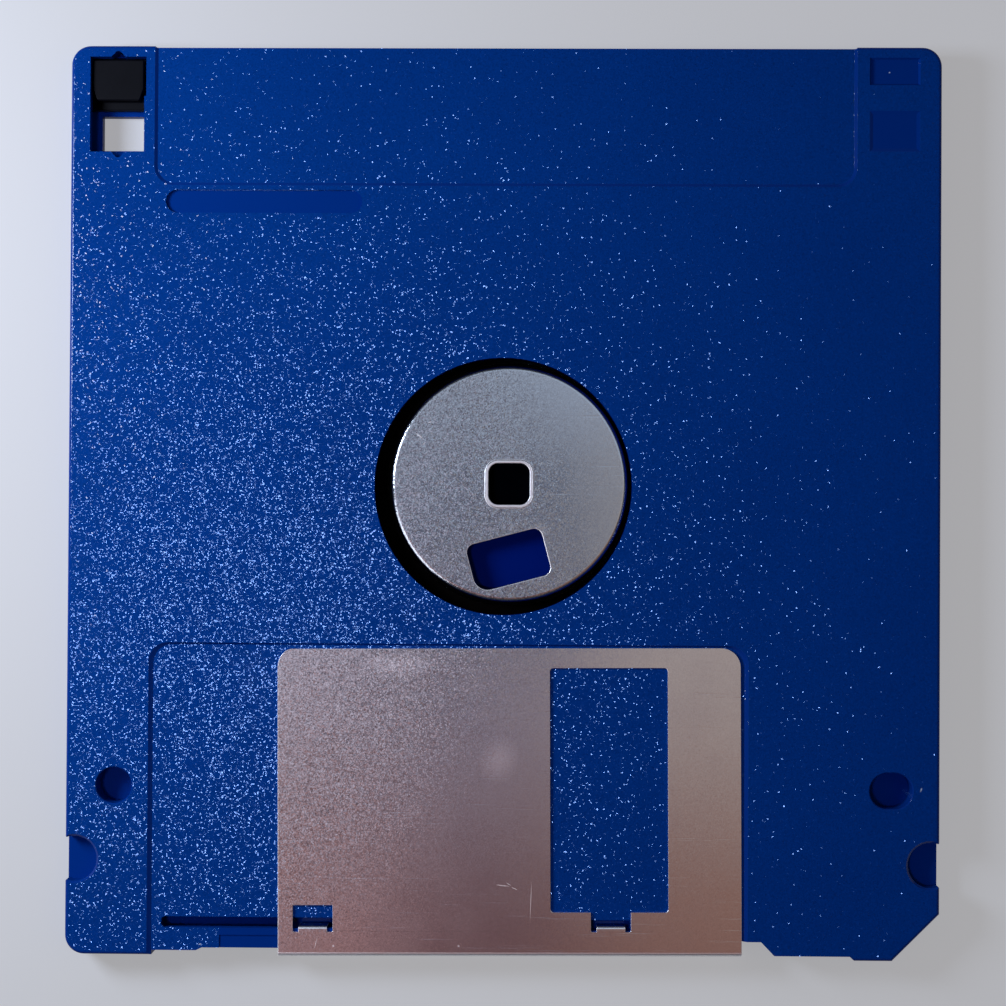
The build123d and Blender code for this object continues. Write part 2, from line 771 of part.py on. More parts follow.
shutter_middle = ((shutter_left + shutter_right) / 2, (fold_y + leaf_top_y) / 2, 0)
shutter.part = shutter.part.rotate(Axis(shutter_middle, (0, 0, 1)), shutter_skew)
shutter.part.label = "shutter"

# Shutter spring: a coil with two arms. One sits in the pocket's corner, and the other pushes
# the shutter's tongue shut. The coil lies midway between their ends, beside the chamber's wall.
coil_x = (spring_pocket_left + small_window_middle_x) / 2
coil_reach = chamber_radius + inner_wall + coil_from_chamber
coil_y = opening_y - math.sqrt(coil_reach**2 - coil_x**2)
spring_mid_z = case_thickness / 2
fixed_end = (
    spring_pocket_left + spring_end_play + wire / 2,
    groove_inner_y + spring_rest,
)
free_end = (
    small_window_middle_x - tongue_width / 2 - spring_end_play - wire / 2,
    (groove_outer_y + groove_inner_y) / 2,
)


def tangent_turn(end, side):
    """The turn about the coil's axis at which an arm from end touches it. side is +1 or -1."""
    away = math.dist(end, (coil_x, coil_y))
    return math.atan2(end[1] - coil_y, end[0] - coil_x) + side * math.acos(coil_radius / away)


fixed_turn = tangent_turn(fixed_end, 1)
free_turn = tangent_turn(free_end, -1)
extra_turn = (free_turn - fixed_turn) / (2 * math.pi) % 1
coil_height = coil_pitch * (coil_turns + extra_turn)
coil_low_z = spring_mid_z - coil_height / 2
coil_high_z = spring_mid_z + coil_height / 2
coil_plane = Plane(
    (coil_x, coil_y, coil_low_z),
    x_dir=(math.cos(fixed_turn), math.sin(fixed_turn), 0),
    z_dir=(0, 0, 1),
)
coil = coil_plane * Helix(coil_pitch, coil_height, coil_radius)
wire_path = Wire(
    [
        Edge.make_line((*fixed_end, coil_low_z), coil @ 0),
        coil.edge(),
        Edge.make_line(coil @ 1, (*free_end, coil_high_z)),
    ]
)
with BuildPart() as shutter_spring:
    with BuildSketch(Plane(origin=wire_path @ 0, z_dir=wire_path % 0)):
        RegularPolygon(wire / 2, 6)
    sweep(path=wire_path)
shutter_spring.part.label = "shutter_spring"

# Write-protect tab: a block that shows in the slot, on a flange that keeps it in
with BuildPart() as write_protect_tab:
    with BuildSketch(Plane.XY.offset(tab_z)):
        lay_rectangle(tab_flange_left, tab_flange_right, tab_flange_low, tab_flange_high)
    extrude(amount=tab_flange_thickness)
    tab_right = tab_left + tab_width
    with BuildSketch(Plane.XY.offset(tab_z)):
        with BuildLine():
            Polyline(
                (tab_left, tab_top),
                (tab_right, tab_top),
                (tab_right, tab_foot + tab_chamfer_length),
                (tab_right - tab_chamfer, tab_foot),
                (tab_left + tab_chamfer, tab_foot),
                (tab_left, tab_foot + tab_chamfer_length),
                close=True,
            )
        make_face()
    extrude(amount=case_thickness - tab_sink - tab_z)
    fillet(write_protect_tab.faces().sort_by(Axis.Z)[-1].edges(), tab_edge_radius)
write_protect_tab.part.label = "write_protect_tab"

for piece in (
    front_shell,
    back_shell,
    front_liner,
    back_liner,
    lifter,
    magnetic_disk,
    hub_adhesive,
    hub,
    shutter,
    shutter_spring,
    write_protect_tab,
):
    export_step(piece.part, f"parts/{piece.part.label}.step")
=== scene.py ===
"""A 90 mm flexible disk cartridge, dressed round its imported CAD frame.

The cartridge lies on its label side with its shutter shut. The shells, liners, lifter, medium and
adhesive keep their CAD meshes and get their finishes here. The stamped hub, the folded shutter,
its wire spring and the write-protect tab are modelled again, with broken edges that catch light.
"""

import json
import logging
import math
from collections.abc import Callable, Iterable
from dataclasses import dataclass
from enum import Enum

import bmesh
import bpy
from mathutils import Matrix, Vector

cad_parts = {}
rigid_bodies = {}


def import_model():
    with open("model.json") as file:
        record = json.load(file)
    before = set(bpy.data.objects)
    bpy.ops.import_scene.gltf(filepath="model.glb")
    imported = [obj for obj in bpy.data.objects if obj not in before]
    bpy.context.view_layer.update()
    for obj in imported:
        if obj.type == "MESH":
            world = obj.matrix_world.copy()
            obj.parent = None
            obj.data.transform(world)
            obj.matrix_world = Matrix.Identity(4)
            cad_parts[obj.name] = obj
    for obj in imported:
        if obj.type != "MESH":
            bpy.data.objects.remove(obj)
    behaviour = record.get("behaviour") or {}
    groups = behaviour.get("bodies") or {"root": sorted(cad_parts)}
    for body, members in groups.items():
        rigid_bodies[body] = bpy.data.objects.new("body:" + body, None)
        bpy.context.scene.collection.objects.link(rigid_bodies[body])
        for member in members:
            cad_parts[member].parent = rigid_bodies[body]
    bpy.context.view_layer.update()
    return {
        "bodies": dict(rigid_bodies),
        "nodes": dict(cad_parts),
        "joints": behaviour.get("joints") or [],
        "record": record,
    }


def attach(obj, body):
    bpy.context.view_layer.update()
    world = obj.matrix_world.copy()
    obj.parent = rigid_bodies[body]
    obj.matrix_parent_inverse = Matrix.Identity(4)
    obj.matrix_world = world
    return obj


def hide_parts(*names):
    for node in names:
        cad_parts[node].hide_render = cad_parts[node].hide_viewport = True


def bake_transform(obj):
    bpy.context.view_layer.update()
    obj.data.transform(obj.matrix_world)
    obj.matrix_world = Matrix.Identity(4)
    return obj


MM = 0.001  # m
SNUG = 0.001  # mm, how near an edge or a corner has to lie to the place that is asked for
WARP_WIDTH = 3.0  # facet widths, across the waves that bend the facets' outlines
WARP_REACH = 2.0  # facet widths that they push an outline
BROKEN_PAST = 35.0  # degrees, the turn past which an edge is broken
SMOOTH_UP_TO = 50.0  # degrees, the turn up to which neighbouring faces shade as one
LOG = logging.getLogger("disk_cartridge")


def linear(colour: str) -> tuple[float, float, float, float]:
    """Turns an sRGB hex colour into the linear values that a shader takes.

    Args:
        colour: six hex digits after a hash sign.

    Returns:
        Linear red, green and blue, and an alpha of 1.
    """
    channels = [int(colour[i : i + 2], 16) / 255 for i in (1, 3, 5)]
    return (*(c / 12.92 if c <= 0.04045 else ((c + 0.055) / 1.055) ** 2.4 for c in channels), 1.0)


def add_node(
    tree: bpy.types.NodeTree, kind: str, inputs: dict | None = None, **settings: object
) -> bpy.types.Node:
    """Adds a node, sets its properties, and gives each input a value or a link.

    Args:
        tree: the node tree that gets the node.
        kind: the node's type name.
        inputs: values or output sockets, by the input's name or number.
        settings: properties of the node, by name.

    Returns:
        The new node.
    """
    node = tree.nodes.new(kind)
    for name, value in settings.items():
        setattr(node, name, value)
    for key, value in (inputs or {}).items():
        if isinstance(value, bpy.types.NodeSocket):
            tree.links.new(value, node.inputs[key])
        else:
            node.inputs[key].default_value = value
    return node


def new_material(name: str) -> tuple[bpy.types.Material, bpy.types.NodeTree]:
    """Makes an empty node material.

    Args:
        name: the finish's name.

    Returns:
        The material and its cleared node tree.
    """
    material = bpy.data.materials.new(name)
    material.use_nodes = True
    material.node_tree.nodes.clear()
    return material, material.node_tree


def in_millimetres(
    tree: bpy.types.NodeTree, stretch: tuple[float, float, float] = (1.0, 1.0, 1.0)
) -> bpy.types.NodeSocket:
    """Reads a piece's own Object coordinates.

    Args:
        tree: the material's node tree.
        stretch: how many times as close together a pattern lies, along each axis.

    Returns:
        The place on the piece, in millimetres.
    """
    place = add_node(tree, "ShaderNodeTexCoord")
    return add_node(
        tree,
        "ShaderNodeVectorMath",
        {0: place.outputs["Object"], 1: [share / MM for share in stretch]},
        operation="MULTIPLY",
    ).outputs[0]


@dataclass(frozen=True)
class Mark:
    """A scratch or nick, a patch of painted highlight, or a place of painted shade, drawn as a long
    or round patch in plan.
    """

    x: float  # mm, its middle
    y: float
    length: float
    width: float
    turn: float = 0.0  # degrees
    soft: float = 0.6  # share of its half width over which it fades
    height: float = 3.2  # mm, about the hub side's faces
    reach: float = 1.0  # mm above and below that

    def mask(self, tree: bpy.types.NodeTree, mm: bpy.types.NodeSocket) -> bpy.types.NodeSocket:
        """Draws the mark.

        Args:
            tree: the material's node tree.
            mm: the place on the piece, in millimetres.

        Returns:
            A value of 1 in its middle and 0 outside it.
        """
        own = add_node(
            tree,
            "ShaderNodeMapping",
            {
                "Vector": mm,
                "Location": (self.x, self.y, self.height),
                "Rotation": (0.0, 0.0, math.radians(self.turn)),
                "Scale": (self.length / 2, self.width / 2, self.reach),
            },
            vector_type="TEXTURE",
        )
        away = add_node(tree, "ShaderNodeVectorMath", {0: own.outputs[0]}, operation="LENGTH")
        return add_node(
            tree,
            "ShaderNodeMapRange",
            {"Value": away.outputs["Value"], "From Min": 1.0, "From Max": 1.0 - self.soft},
        ).outputs[0]


def draw_marks(
    tree: bpy.types.NodeTree, mm: bpy.types.NodeSocket, marks: tuple[Mark, ...]
) -> bpy.types.NodeSocket:
    """Draws several marks as one mask.

    Args:
        tree: the material's node tree.
        mm: the place on the piece, in millimetres.
        marks: what is drawn, at least one.

    Returns:
        A value of 1 in a mark and 0 outside them all.
    """
    total: float | bpy.types.NodeSocket = 0.0
    for mark in marks:
        total = add_node(
            tree, "ShaderNodeMath", {0: total, 1: mark.mask(tree, mm)}, operation="MAXIMUM"
        ).outputs[0]
    return total


def draw_facets(
    tree: bpy.types.NodeTree,
    mm: bpy.types.NodeSocket,
    size: float,
    slope: float,
    strength: bpy.types.NodeSocket,
) -> tuple[bpy.types.NodeSocket, bpy.types.NodeSocket]:
    """Breaks a surface into little facets, each with a slope of its own.

    Args:
        tree: the material's node tree.
        mm: the place on the piece, in millimetres.
        size: a facet's width in millimetres.
        slope: tangent of the facets' usual slope.
        strength: 1 where the facets are as steep as that, and 0 where there are none.

    Returns:
        The facets' normal, and a value by chance for each facet.
    """
    warp = add_node(
        tree, "ShaderNodeTexNoise", {"Vector": mm, "Scale": 1 / (size * WARP_WIDTH), "Detail": 1.0}
    )
    bent = add_node(
        tree,
        "ShaderNodeVectorMath",
        {0: warp.outputs["Color"], 1: (size * WARP_REACH,) * 3, 2: mm},
        operation="MULTIPLY_ADD",
    )
    cells = add_node(
        tree,
        "ShaderNodeTexVoronoi",
        {"Vector": bent.outputs[0], "Scale": 1 / size, "Randomness": 1.0},
        voronoi_dimensions="2D",
        feature="F1",
    )
    chance = add_node(tree, "ShaderNodeSeparateXYZ", {0: cells.outputs["Color"]})
    # A slope falls off on both sides as a bell curve does: the root of twice a logarithm
    steep = chance.outputs["Z"]
    for operation, value in (
        ("LOGARITHM", math.e),
        ("MULTIPLY", -2.0),
        ("SQRT", 0.0),
        ("MULTIPLY", slope),
        ("MULTIPLY", strength),
    ):
        steep = add_node(
            tree, "ShaderNodeMath", {0: steep, 1: value}, operation=operation
        ).outputs[0]
    around = add_node(
        tree, "ShaderNodeMath", {0: chance.outputs["X"], 1: math.tau}, operation="MULTIPLY"
    ).outputs[0]
    east, north = (
        add_node(tree, "ShaderNodeMath", {0: around}, operation=operation).outputs[0]
        for operation in ("COSINE", "SINE")
    )
    facing = add_node(tree, "ShaderNodeCombineXYZ", {0: east, 1: north})
    lean = add_node(
        tree, "ShaderNodeVectorMath", {0: facing.outputs[0], "Scale": steep}, operation="SCALE"
    )
    surface = add_node(tree, "ShaderNodeNewGeometry")
    tilted = add_node(
        tree,
        "ShaderNodeVectorMath",
        {0: surface.outputs["Normal"], 1: lean.outputs[0]},
        operation="ADD",
    )
    normal = add_node(tree, "ShaderNodeVectorMath", {0: tilted.outputs[0]}, operation="NORMALIZE")
    return normal.outputs[0], chance.outputs["Y"]


@dataclass(frozen=True)
class SparkErodedAbs:
    """Blue ABS, injection moulded in a spark-eroded tool.

    The tool's craters leave shallow little facets all over the outer faces. A facet that happens to
    mirror the lamp glints white, and between the glints the plastic shows its own deep blue. The
    sloped borders, the finger recess, the shallow blanks, the lip and the inside were polished in
    the tool, and look even; their blue is painted a little deeper, as shade. Inside the hub's
    opening the blue is painted darker still, as shade, and the well under the spindle's hole is
    painted nearly black, as shade.
    """

    colour: str = "#04489f"
    deep_colour: str = "#034194"
    # painted shade: polished faces drawn deeper, for the light they scatter less
    polished_shade_colour: str = "#033b93"
    # painted shade inside the hub's opening
    opening_shade_colour: str = "#01207a"
    # painted shade: the well under the spindle's hole, nearly black
    well_shade_colour: str = "#05060c"
    nick_colour: str = "#e4ecfa"
    drift: float = 16.0  # mm, across the places where its tone is deeper
    facet: float = 0.105  # mm across
    slope: float = 0.084  # tangent of the facets' usual slope
    swell: float = 1.1  # mm, the slow waviness left by sinking
    swell_height: float = 0.016  # mm, over the noise's whole span
    roughness: float = 0.6
    ior: float = 1.54
    coat: float = 1.0  # on grained faces
    polished_coat: float = 0.35
    coat_roughness: float = 0.1
    grained_levels: tuple[float, ...] = (3.3, 3.1, 3.02, 0.0, 0.2, 0.28)  # mm above the floor
    level_slack: float = 0.011  # mm above and below a level
    lip_left: float = -29.05  # mm
    lip_right: float = 24.9
    lip_top: float = -44.17
    lip_low: float = 1.65
    # Where the painted shade of the opening and of the well goes, in plan and in height
    opening: Mark = Mark(0.0, 1.5, 26.9, 26.9, soft=0.01, reach=1000.0)
    well: Mark = Mark(0.62, 1.76, 7.4, 7.4, soft=0.3, reach=1000.0)
    inside_middle: float = 1.78  # mm, halfway up between the two outer faces
    inside_reach: float = 1.42  # mm above and below that
    nicks: tuple[Mark, ...] = (
        Mark(43.05, -29.4, 0.55, 0.2, 70),
        Mark(39.6, 44.4, 0.22, 0.18),
        Mark(45.0, 41.3, 1.1, 0.12, 80),
        Mark(-31.0, -45.9, 0.3, 0.18, 20),
        Mark(-42.2, 42.9, 0.3, 0.2, 30),
    )

    def grained(self, tree: bpy.types.NodeTree, axes: bpy.types.Node) -> bpy.types.NodeSocket:
        """Finds where the tool was left grained, from the heights of the case's flat levels.

        Args:
            tree: the material's node tree.
            axes: the place on the case, in millimetres, as separate axes.

        Returns:
            A value of 1 on grained faces and 0 elsewhere.
        """
        flat: float | bpy.types.NodeSocket = 0.0
        for level in self.grained_levels:
            here = add_node(
                tree,
                "ShaderNodeMath",
                {0: axes.outputs["Z"], 1: level, 2: self.level_slack},
                operation="COMPARE",
            )
            flat = add_node(
                tree, "ShaderNodeMath", {0: flat, 1: here.outputs[0]}, operation="ADD"
            ).outputs[0]
        # The strip outside the guide groove lies at a grained level, but it was polished
        lip: float | bpy.types.NodeSocket = 1.0
        for axis, limit, operation in (
            ("Y", self.lip_top, "LESS_THAN"),
            ("X", self.lip_left, "GREATER_THAN"),
            ("X", self.lip_right, "LESS_THAN"),
            ("Z", self.lip_low, "GREATER_THAN"),
        ):
            here = add_node(
                tree, "ShaderNodeMath", {0: axes.outputs[axis], 1: limit}, operation=operation
            )
            lip = add_node(
                tree, "ShaderNodeMath", {0: lip, 1: here.outputs[0]}, operation="MULTIPLY"
            ).outputs[0]
        return add_node(
            tree, "ShaderNodeMath", {0: flat, 1: lip}, operation="SUBTRACT", use_clamp=True
        ).outputs[0]

    def tone(
        self,
        tree: bpy.types.NodeTree,
        mm: bpy.types.NodeSocket,
        height: bpy.types.NodeSocket,
        grain: bpy.types.NodeSocket,
    ) -> bpy.types.NodeSocket:
        """Mixes the plastic's blue: drifting outside, with painted shade deep in the opening and
        black in the well.

        A polished face scatters less light back, so it is painted a little deeper than a grained
        one, as shade.

        Args:
            tree: the material's node tree.
            mm: the place on the case, in millimetres.
            height: how high that place is.
            grain: 1 on grained faces.

        Returns:
            The base colour.
        """
        drift = add_node(
            tree,
            "ShaderNodeTexNoise",
            {"Vector": mm, "Scale": 1 / self.drift, "Detail": 3.0, "Roughness": 0.5},
        )
        polished = add_node(tree, "ShaderNodeMath", {0: 1.0, 1: grain}, operation="SUBTRACT")
        within = add_node(
            tree,
            "ShaderNodeMath",
            {0: height, 1: self.inside_middle, 2: self.inside_reach},
            operation="COMPARE",
        )
        opening, well = (
            add_node(
                tree,
                "ShaderNodeMath",
                {0: mark.mask(tree, mm), 1: within.outputs[0]},
                operation="MULTIPLY",
            )
            for mark in (self.opening, self.well)
        )
        tone = linear(self.colour)
        # The drift is the plastic's own tone; the polished, opening and well mixes are painted
        # shade
        for where, other in (
            (drift.outputs["Fac"], self.deep_colour),
            (polished.outputs[0], self.polished_shade_colour),
            (opening.outputs[0], self.opening_shade_colour),
            (well.outputs[0], self.well_shade_colour),
            (draw_marks(tree, mm, self.nicks), self.nick_colour),
        ):
            tone = add_node(
                tree,
                "ShaderNodeMix",
                {"Factor": where, "A": tone, "B": linear(other)},
                data_type="RGBA",
            ).outputs[2]
        return tone

    def material(self) -> bpy.types.Material:
        """Builds the shader.

        Returns:
            The finish for both shells.
        """
        material, tree = new_material("moulded_abs_blue")
        mm = in_millimetres(tree)
        axes = add_node(tree, "ShaderNodeSeparateXYZ", {0: mm})
        grain = self.grained(tree, axes)
        facets, _ = draw_facets(tree, mm, self.facet, self.slope, grain)
        coat = add_node(
            tree,
            "ShaderNodeMapRange",
            {"Value": grain, "To Min": self.polished_coat, "To Max": self.coat},
        )
        swells = add_node(
            tree,
            "ShaderNodeTexNoise",
            {"Vector": mm, "Scale": 1 / self.swell, "Detail": 3.0, "Roughness": 0.7},
        )
        bump = add_node(
            tree,
            "ShaderNodeBump",
            {"Height": swells.outputs["Fac"], "Distance": self.swell_height * MM, "Normal": facets},
        )
        shader = add_node(
            tree,
            "ShaderNodeBsdfPrincipled",
            {
                "Base Color": self.tone(tree, mm, axes.outputs["Z"], grain),
                "Roughness": self.roughness,
                "IOR": self.ior,
                "Specular IOR Level": 0.0,
                "Coat Weight": coat.outputs[0],
                "Coat IOR": self.ior,
                "Coat Roughness": self.coat_roughness,
                "Coat Normal": facets,
                "Normal": bump.outputs[0],
            },
        )
        add_node(tree, "ShaderNodeOutputMaterial", {"Surface": shader.outputs[0]})
        return material


@dataclass(frozen=True)
class RolledSteel:
    """Stainless sheet, cold rolled and skin-passed, the stock of the shutter and of the hub.

    The mill's rolls leave a satin face of very fine pits and peaks, too fine to show, so they are
    drawn a pixel wide here, each pit darkened at random by painted shade. The grain and that shade
    fade out towards one side. Handling adds hairline scratches, a few dull smears and bright nicks,
    and whitish patches are painted on as highlights.
    """

    name: str
    marks: tuple[Mark, ...]
    highlight_patches: tuple[Mark, ...]
    grain_fades_along: tuple[float, float, float]  # the way in which the grain and the pits' painted shade fade out
    grain_faded_at: float  # mm along it from the piece's middle, where the grain has faded out
    colour: str = "#d6d5d7"
    dull_colour: str = "#c9c6c9"
    pit_shade_colour: str = "#807c80"
    nick_colour: str = "#ffffff"
    faded_grain: float = 0.15  # share of the grain left where it has faded out
    pit: float = 0.1  # mm
    slope: float = 0.035  # tangent of the pits' usual slope
    pit_shade: float = 0.85  # share of the pits' painted shade in the darkest pit
    highlight_share: float = 0.5  # share of the nick colour in a painted highlight patch
    smear: float = 9.0  # mm across
    smear_fades: tuple[float, float] = (0.35, 0.65)  # noise where it begins and is whole
    clean_roughness: float = 0.13
    smeared_roughness: float = 0.18
    nick_roughness: float = 0.3  # more than beside it
    hairline: float = 0.5  # mm between hairlines
    hairline_length: float = 14.0  # mm
    hairline_depth: float = 0.003  # mm
    hairline_turn: float = 0.35  # radians
    hairline_fades: tuple[float, float] = (0.62, 0.7)  # noise where it begins and is whole

    def relief(
        self, tree: bpy.types.NodeTree, mm: bpy.types.NodeSocket, facets: bpy.types.NodeSocket
    ) -> bpy.types.NodeSocket:
        """Cuts the hairline scratches into the facets.

        Args:
            tree: the material's node tree.
            mm: the place on the piece, in millimetres.
            facets: the facets' normal.

        Returns:
            The surface's normal.
        """
        turned = add_node(
            tree,
            "ShaderNodeMapping",
            {
                "Vector": mm,
                "Rotation": (0.0, 0.0, self.hairline_turn),
                "Scale": (1 / self.hairline_length, 1 / self.hairline, 1.0),
            },
        )
        hairlines = add_node(
            tree,
            "ShaderNodeTexNoise",
            {"Vector": turned.outputs[0], "Scale": 1.0, "Detail": 3.0, "Roughness": 0.7},
        )
        begins, whole = self.hairline_fades
        fine = add_node(
            tree,
            "ShaderNodeMapRange",
            {"Value": hairlines.outputs["Fac"], "From Min": begins, "From Max": whole},
        )
        return add_node(
            tree,
            "ShaderNodeBump",
            {"Height": fine.outputs[0], "Distance": self.hairline_depth * MM, "Normal": facets},
            invert=True,
        ).outputs[0]

    def material(self) -> bpy.types.Material:
        """Builds the shader.

        Returns:
            The finish, on the piece's own Object coordinates.
        """
        material, tree = new_material(self.name)
        mm = in_millimetres(tree)
        along = add_node(
            tree, "ShaderNodeVectorMath", {0: mm, 1: self.grain_fades_along}, operation="DOT_PRODUCT"
        )
        whole = add_node(
            tree,
            "ShaderNodeMapRange",
            {
                "Value": along.outputs["Value"],
                "From Min": 0.0,
                "From Max": self.grain_faded_at,
                "To Min": 1.0,
                "To Max": self.faded_grain,
            },
            interpolation_type="SMOOTHSTEP",
        ).outputs[0]
        facets, pits = draw_facets(tree, mm, self.pit, self.slope, whole)
        # Most pits get little painted shade, and the squared chance leaves few dark ones
        for operation, value in (
            ("POWER", 2.0),
            ("MULTIPLY", whole),
            ("MULTIPLY", self.pit_shade),
        ):
            pits = add_node(
                tree, "ShaderNodeMath", {0: pits, 1: value}, operation=operation
            ).outputs[0]
        smears = add_node(
            tree,
            "ShaderNodeTexNoise",
            {"Vector": mm, "Scale": 1 / self.smear, "Detail": 4.0, "Roughness": 0.6},
        )
        nicks = draw_marks(tree, mm, self.marks)
        # Whitish patches mixed towards the nick colour: painted highlights on the steel
        highlighted = add_node(
            tree,
            "ShaderNodeMath",
            {0: draw_marks(tree, mm, self.highlight_patches), 1: self.highlight_share},
            operation="MULTIPLY",
        )
        tone = linear(self.colour)
        for where, other in (
            (smears.outputs["Fac"], self.dull_colour),
            (pits, self.pit_shade_colour),
            (highlighted.outputs[0], self.nick_colour),
            (nicks, self.nick_colour),
        ):
            tone = add_node(
                tree,
                "ShaderNodeMix",
                {"Factor": where, "A": tone, "B": linear(other)},
                data_type="RGBA",
            ).outputs[2]
        rough = add_node(
            tree,
            "ShaderNodeMapRange",
            {
                "Value": smears.outputs["Fac"],
                "From Min": self.smear_fades[0],
                "From Max": self.smear_fades[1],
                "To Min": self.clean_roughness,
                "To Max": self.smeared_roughness,
            },
        )
        # A nick is torn metal, and scatters the lamp's light
        rough = add_node(
            tree,
            "ShaderNodeMath",
            {0: nicks, 1: self.nick_roughness, 2: rough.outputs[0]},
            operation="MULTIPLY_ADD",
        )
        shader = add_node(
            tree,
            "ShaderNodeBsdfPrincipled",
            {
                "Base Color": tone,
                "Metallic": 1.0,
                "Roughness": rough.outputs[0],
                "Normal": self.relief(tree, mm, facets),
            },
        )
        add_node(tree, "ShaderNodeOutputMaterial", {"Surface": shader.outputs[0]})
        return material


@dataclass(frozen=True)
class MattFinish:
    """The plainer finishes: fibres, oxide, glue, spring wire and the tab's dull black plastic.

    Each is one base tone broken up by a fine and a coarse noise at real sizes, with a matching
    relief.
    """

    name: str
    colour: str
    second_colour: str
    fine: float  # mm
    coarse: float  # mm
    relief: float  # mm
    roughness: float
    metallic: float = 0.0
    specular: float = 0.5
    stretch: tuple[float, float, float] = (1.0, 1.0, 1.0)
    uneven: float = 0.08  # roughness more or less than the usual, from place to place
    fades: tuple[float, float] = (0.12, 0.4)  # noise where the second colour begins and is whole

    def material(self) -> bpy.types.Material:
        """Builds the shader.

        Returns:
            The finish, on the piece's own Object coordinates.
        """
        material, tree = new_material(self.name)
        mm = in_millimetres(tree, self.stretch)
        fine = add_node(
            tree,
            "ShaderNodeTexNoise",
            {"Vector": mm, "Scale": 1 / self.fine, "Detail": 3.0, "Roughness": 0.65},
        )
        coarse = add_node(
            tree, "ShaderNodeTexNoise", {"Vector": mm, "Scale": 1 / self.coarse, "Detail": 2.0}
        )
        both = add_node(
            tree,
            "ShaderNodeMath",
            {0: fine.outputs["Fac"], 1: coarse.outputs["Fac"]},
            operation="MULTIPLY",
        )
        begins, whole = self.fades
        spread = add_node(
            tree,
            "ShaderNodeMapRange",
            {"Value": both.outputs[0], "From Min": begins, "From Max": whole},
        )
        tone = add_node(
            tree,
            "ShaderNodeMix",
            {
                "Factor": spread.outputs[0],
                "A": linear(self.colour),
                "B": linear(self.second_colour),
            },
            data_type="RGBA",
        )
        rough = add_node(
            tree,
            "ShaderNodeMapRange",
            {
                "Value": coarse.outputs["Fac"],
                "To Min": self.roughness - self.uneven,
                "To Max": self.roughness + self.uneven,
            },
        )
        bump = add_node(
            tree,
            "ShaderNodeBump",
            {"Height": fine.outputs["Fac"], "Distance": self.relief * MM},
        )
        shader = add_node(
            tree,
            "ShaderNodeBsdfPrincipled",
            {
                "Base Color": tone.outputs[2],
                "Metallic": self.metallic,
                "Roughness": rough.outputs[0],
                "Specular IOR Level": self.specular,
                "Normal": bump.outputs[0],
            },
        )
        add_node(tree, "ShaderNodeOutputMaterial", {"Surface": shader.outputs[0]})
        return material


# A punch drags the metal along its edge and leaves it bright. This white, rough steel also paints a
# highlight on every face that gets it
BURNISHED_HIGHLIGHT_EDGE = MattFinish(
    "burnished_steel_highlight_edge", "#ffffff", "#e8e8ec", 0.1, 1.0, 0.001, 0.42, metallic=1.0
)


class Part(Enum):
    """What the edit-mode selection is made of, by the operator's own words."""

    VERTEX = "VERT"
    EDGE = "EDGE"
    FACE = "FACE"


class Join(Enum):
    """What a tool does to a piece, by the Boolean modifier's own words."""

    ADD = "UNION"
    CUT = "DIFFERENCE"


def choose(part: Part, wanted: Callable[[Vector], bool]) -> None:
    """Selects those parts of the mesh in edit mode whose middle is wanted, and no others.

    Args:
        part: vertices, edges or faces.
        wanted: says whether the middle, in millimetres, is wanted.
    """
    bpy.ops.mesh.select_mode(type=part.value)
    bpy.ops.mesh.select_all(action="DESELECT")
    mesh = bmesh.from_edit_mesh(bpy.context.object.data)
    pools = {Part.VERTEX: mesh.verts, Part.EDGE: mesh.edges, Part.FACE: mesh.faces}
    for item in pools[part]:
        corners = [item.co] if part is Part.VERTEX else [vertex.co for vertex in item.verts]
        if wanted(sum(corners, Vector()) / len(corners)):
            item.select_set(True)
    mesh.select_flush_mode()
    bmesh.update_edit_mesh(bpy.context.object.data)


def extrude(*move: float) -> None:
    """Extrudes what is selected, and moves it so many millimetres along x, y and z."""
    bpy.ops.mesh.extrude_region_move(TRANSFORM_OT_translate={"value": move})


def score_lines(across: tuple[int, int, int], places: Iterable[float]) -> None:
    """Bisects the whole mesh in edit mode at several places along one axis.

    Args:
        across: the axis.
        places: where the planes cut it, in millimetres.
    """
    for place in places:
        bpy.ops.mesh.select_all(action="SELECT")
        bpy.ops.mesh.bisect(plane_co=[place * axis for axis in across], plane_no=across)


def round_corners(
    corners: list[tuple[float, float]], radius: float, steps: int, below: float = math.inf
) -> None:
    """Rounds the corners of a flat sheet in edit mode.

    Args:
        corners: where they lie in plan, in millimetres.
        radius: how much is taken off each, in millimetres.
        steps: edges round each corner.
        below: the height under which a corner has to lie.
    """
    choose(
        Part.VERTEX,
        lambda m: m.z < below and any(math.dist((m.x, m.y), corner) < SNUG for corner in corners),
    )
    bpy.ops.mesh.bevel(offset=radius, segments=steps, affect="VERTICES")


def take_up(piece: bpy.types.Object) -> None:
    """Selects one piece and no other, and makes it the active one.

    Args:
        piece: the piece.
    """
    bpy.ops.object.select_all(action="DESELECT")
    bpy.context.view_layer.objects.active = piece
    piece.select_set(True)


def start_block(
    name: str, low: tuple[float, float, float], high: tuple[float, float, float], turn: float = 0.0
) -> bpy.types.Object:
    """Adds a block between two corners, in millimetres, with nothing else selected.

    Args:
        name: the piece's name.
        low: its lowest corner before it is turned.
        high: its highest corner before it is turned.
        turn: how far it is turned about its own middle, in degrees, seen from above.

    Returns:
        The new object, its place in its mesh.
    """
    bpy.ops.object.select_all(action="DESELECT")
    bpy.ops.mesh.primitive_cube_add(
        size=1,
        location=[(a + b) / 2 for a, b in zip(low, high)],
        rotation=(0, 0, math.radians(turn)),
        scale=[b - a for a, b in zip(low, high)],
    )
    bpy.ops.object.transform_apply(location=True, rotation=True, scale=True)
    bpy.context.object.name = name
    return bpy.context.object


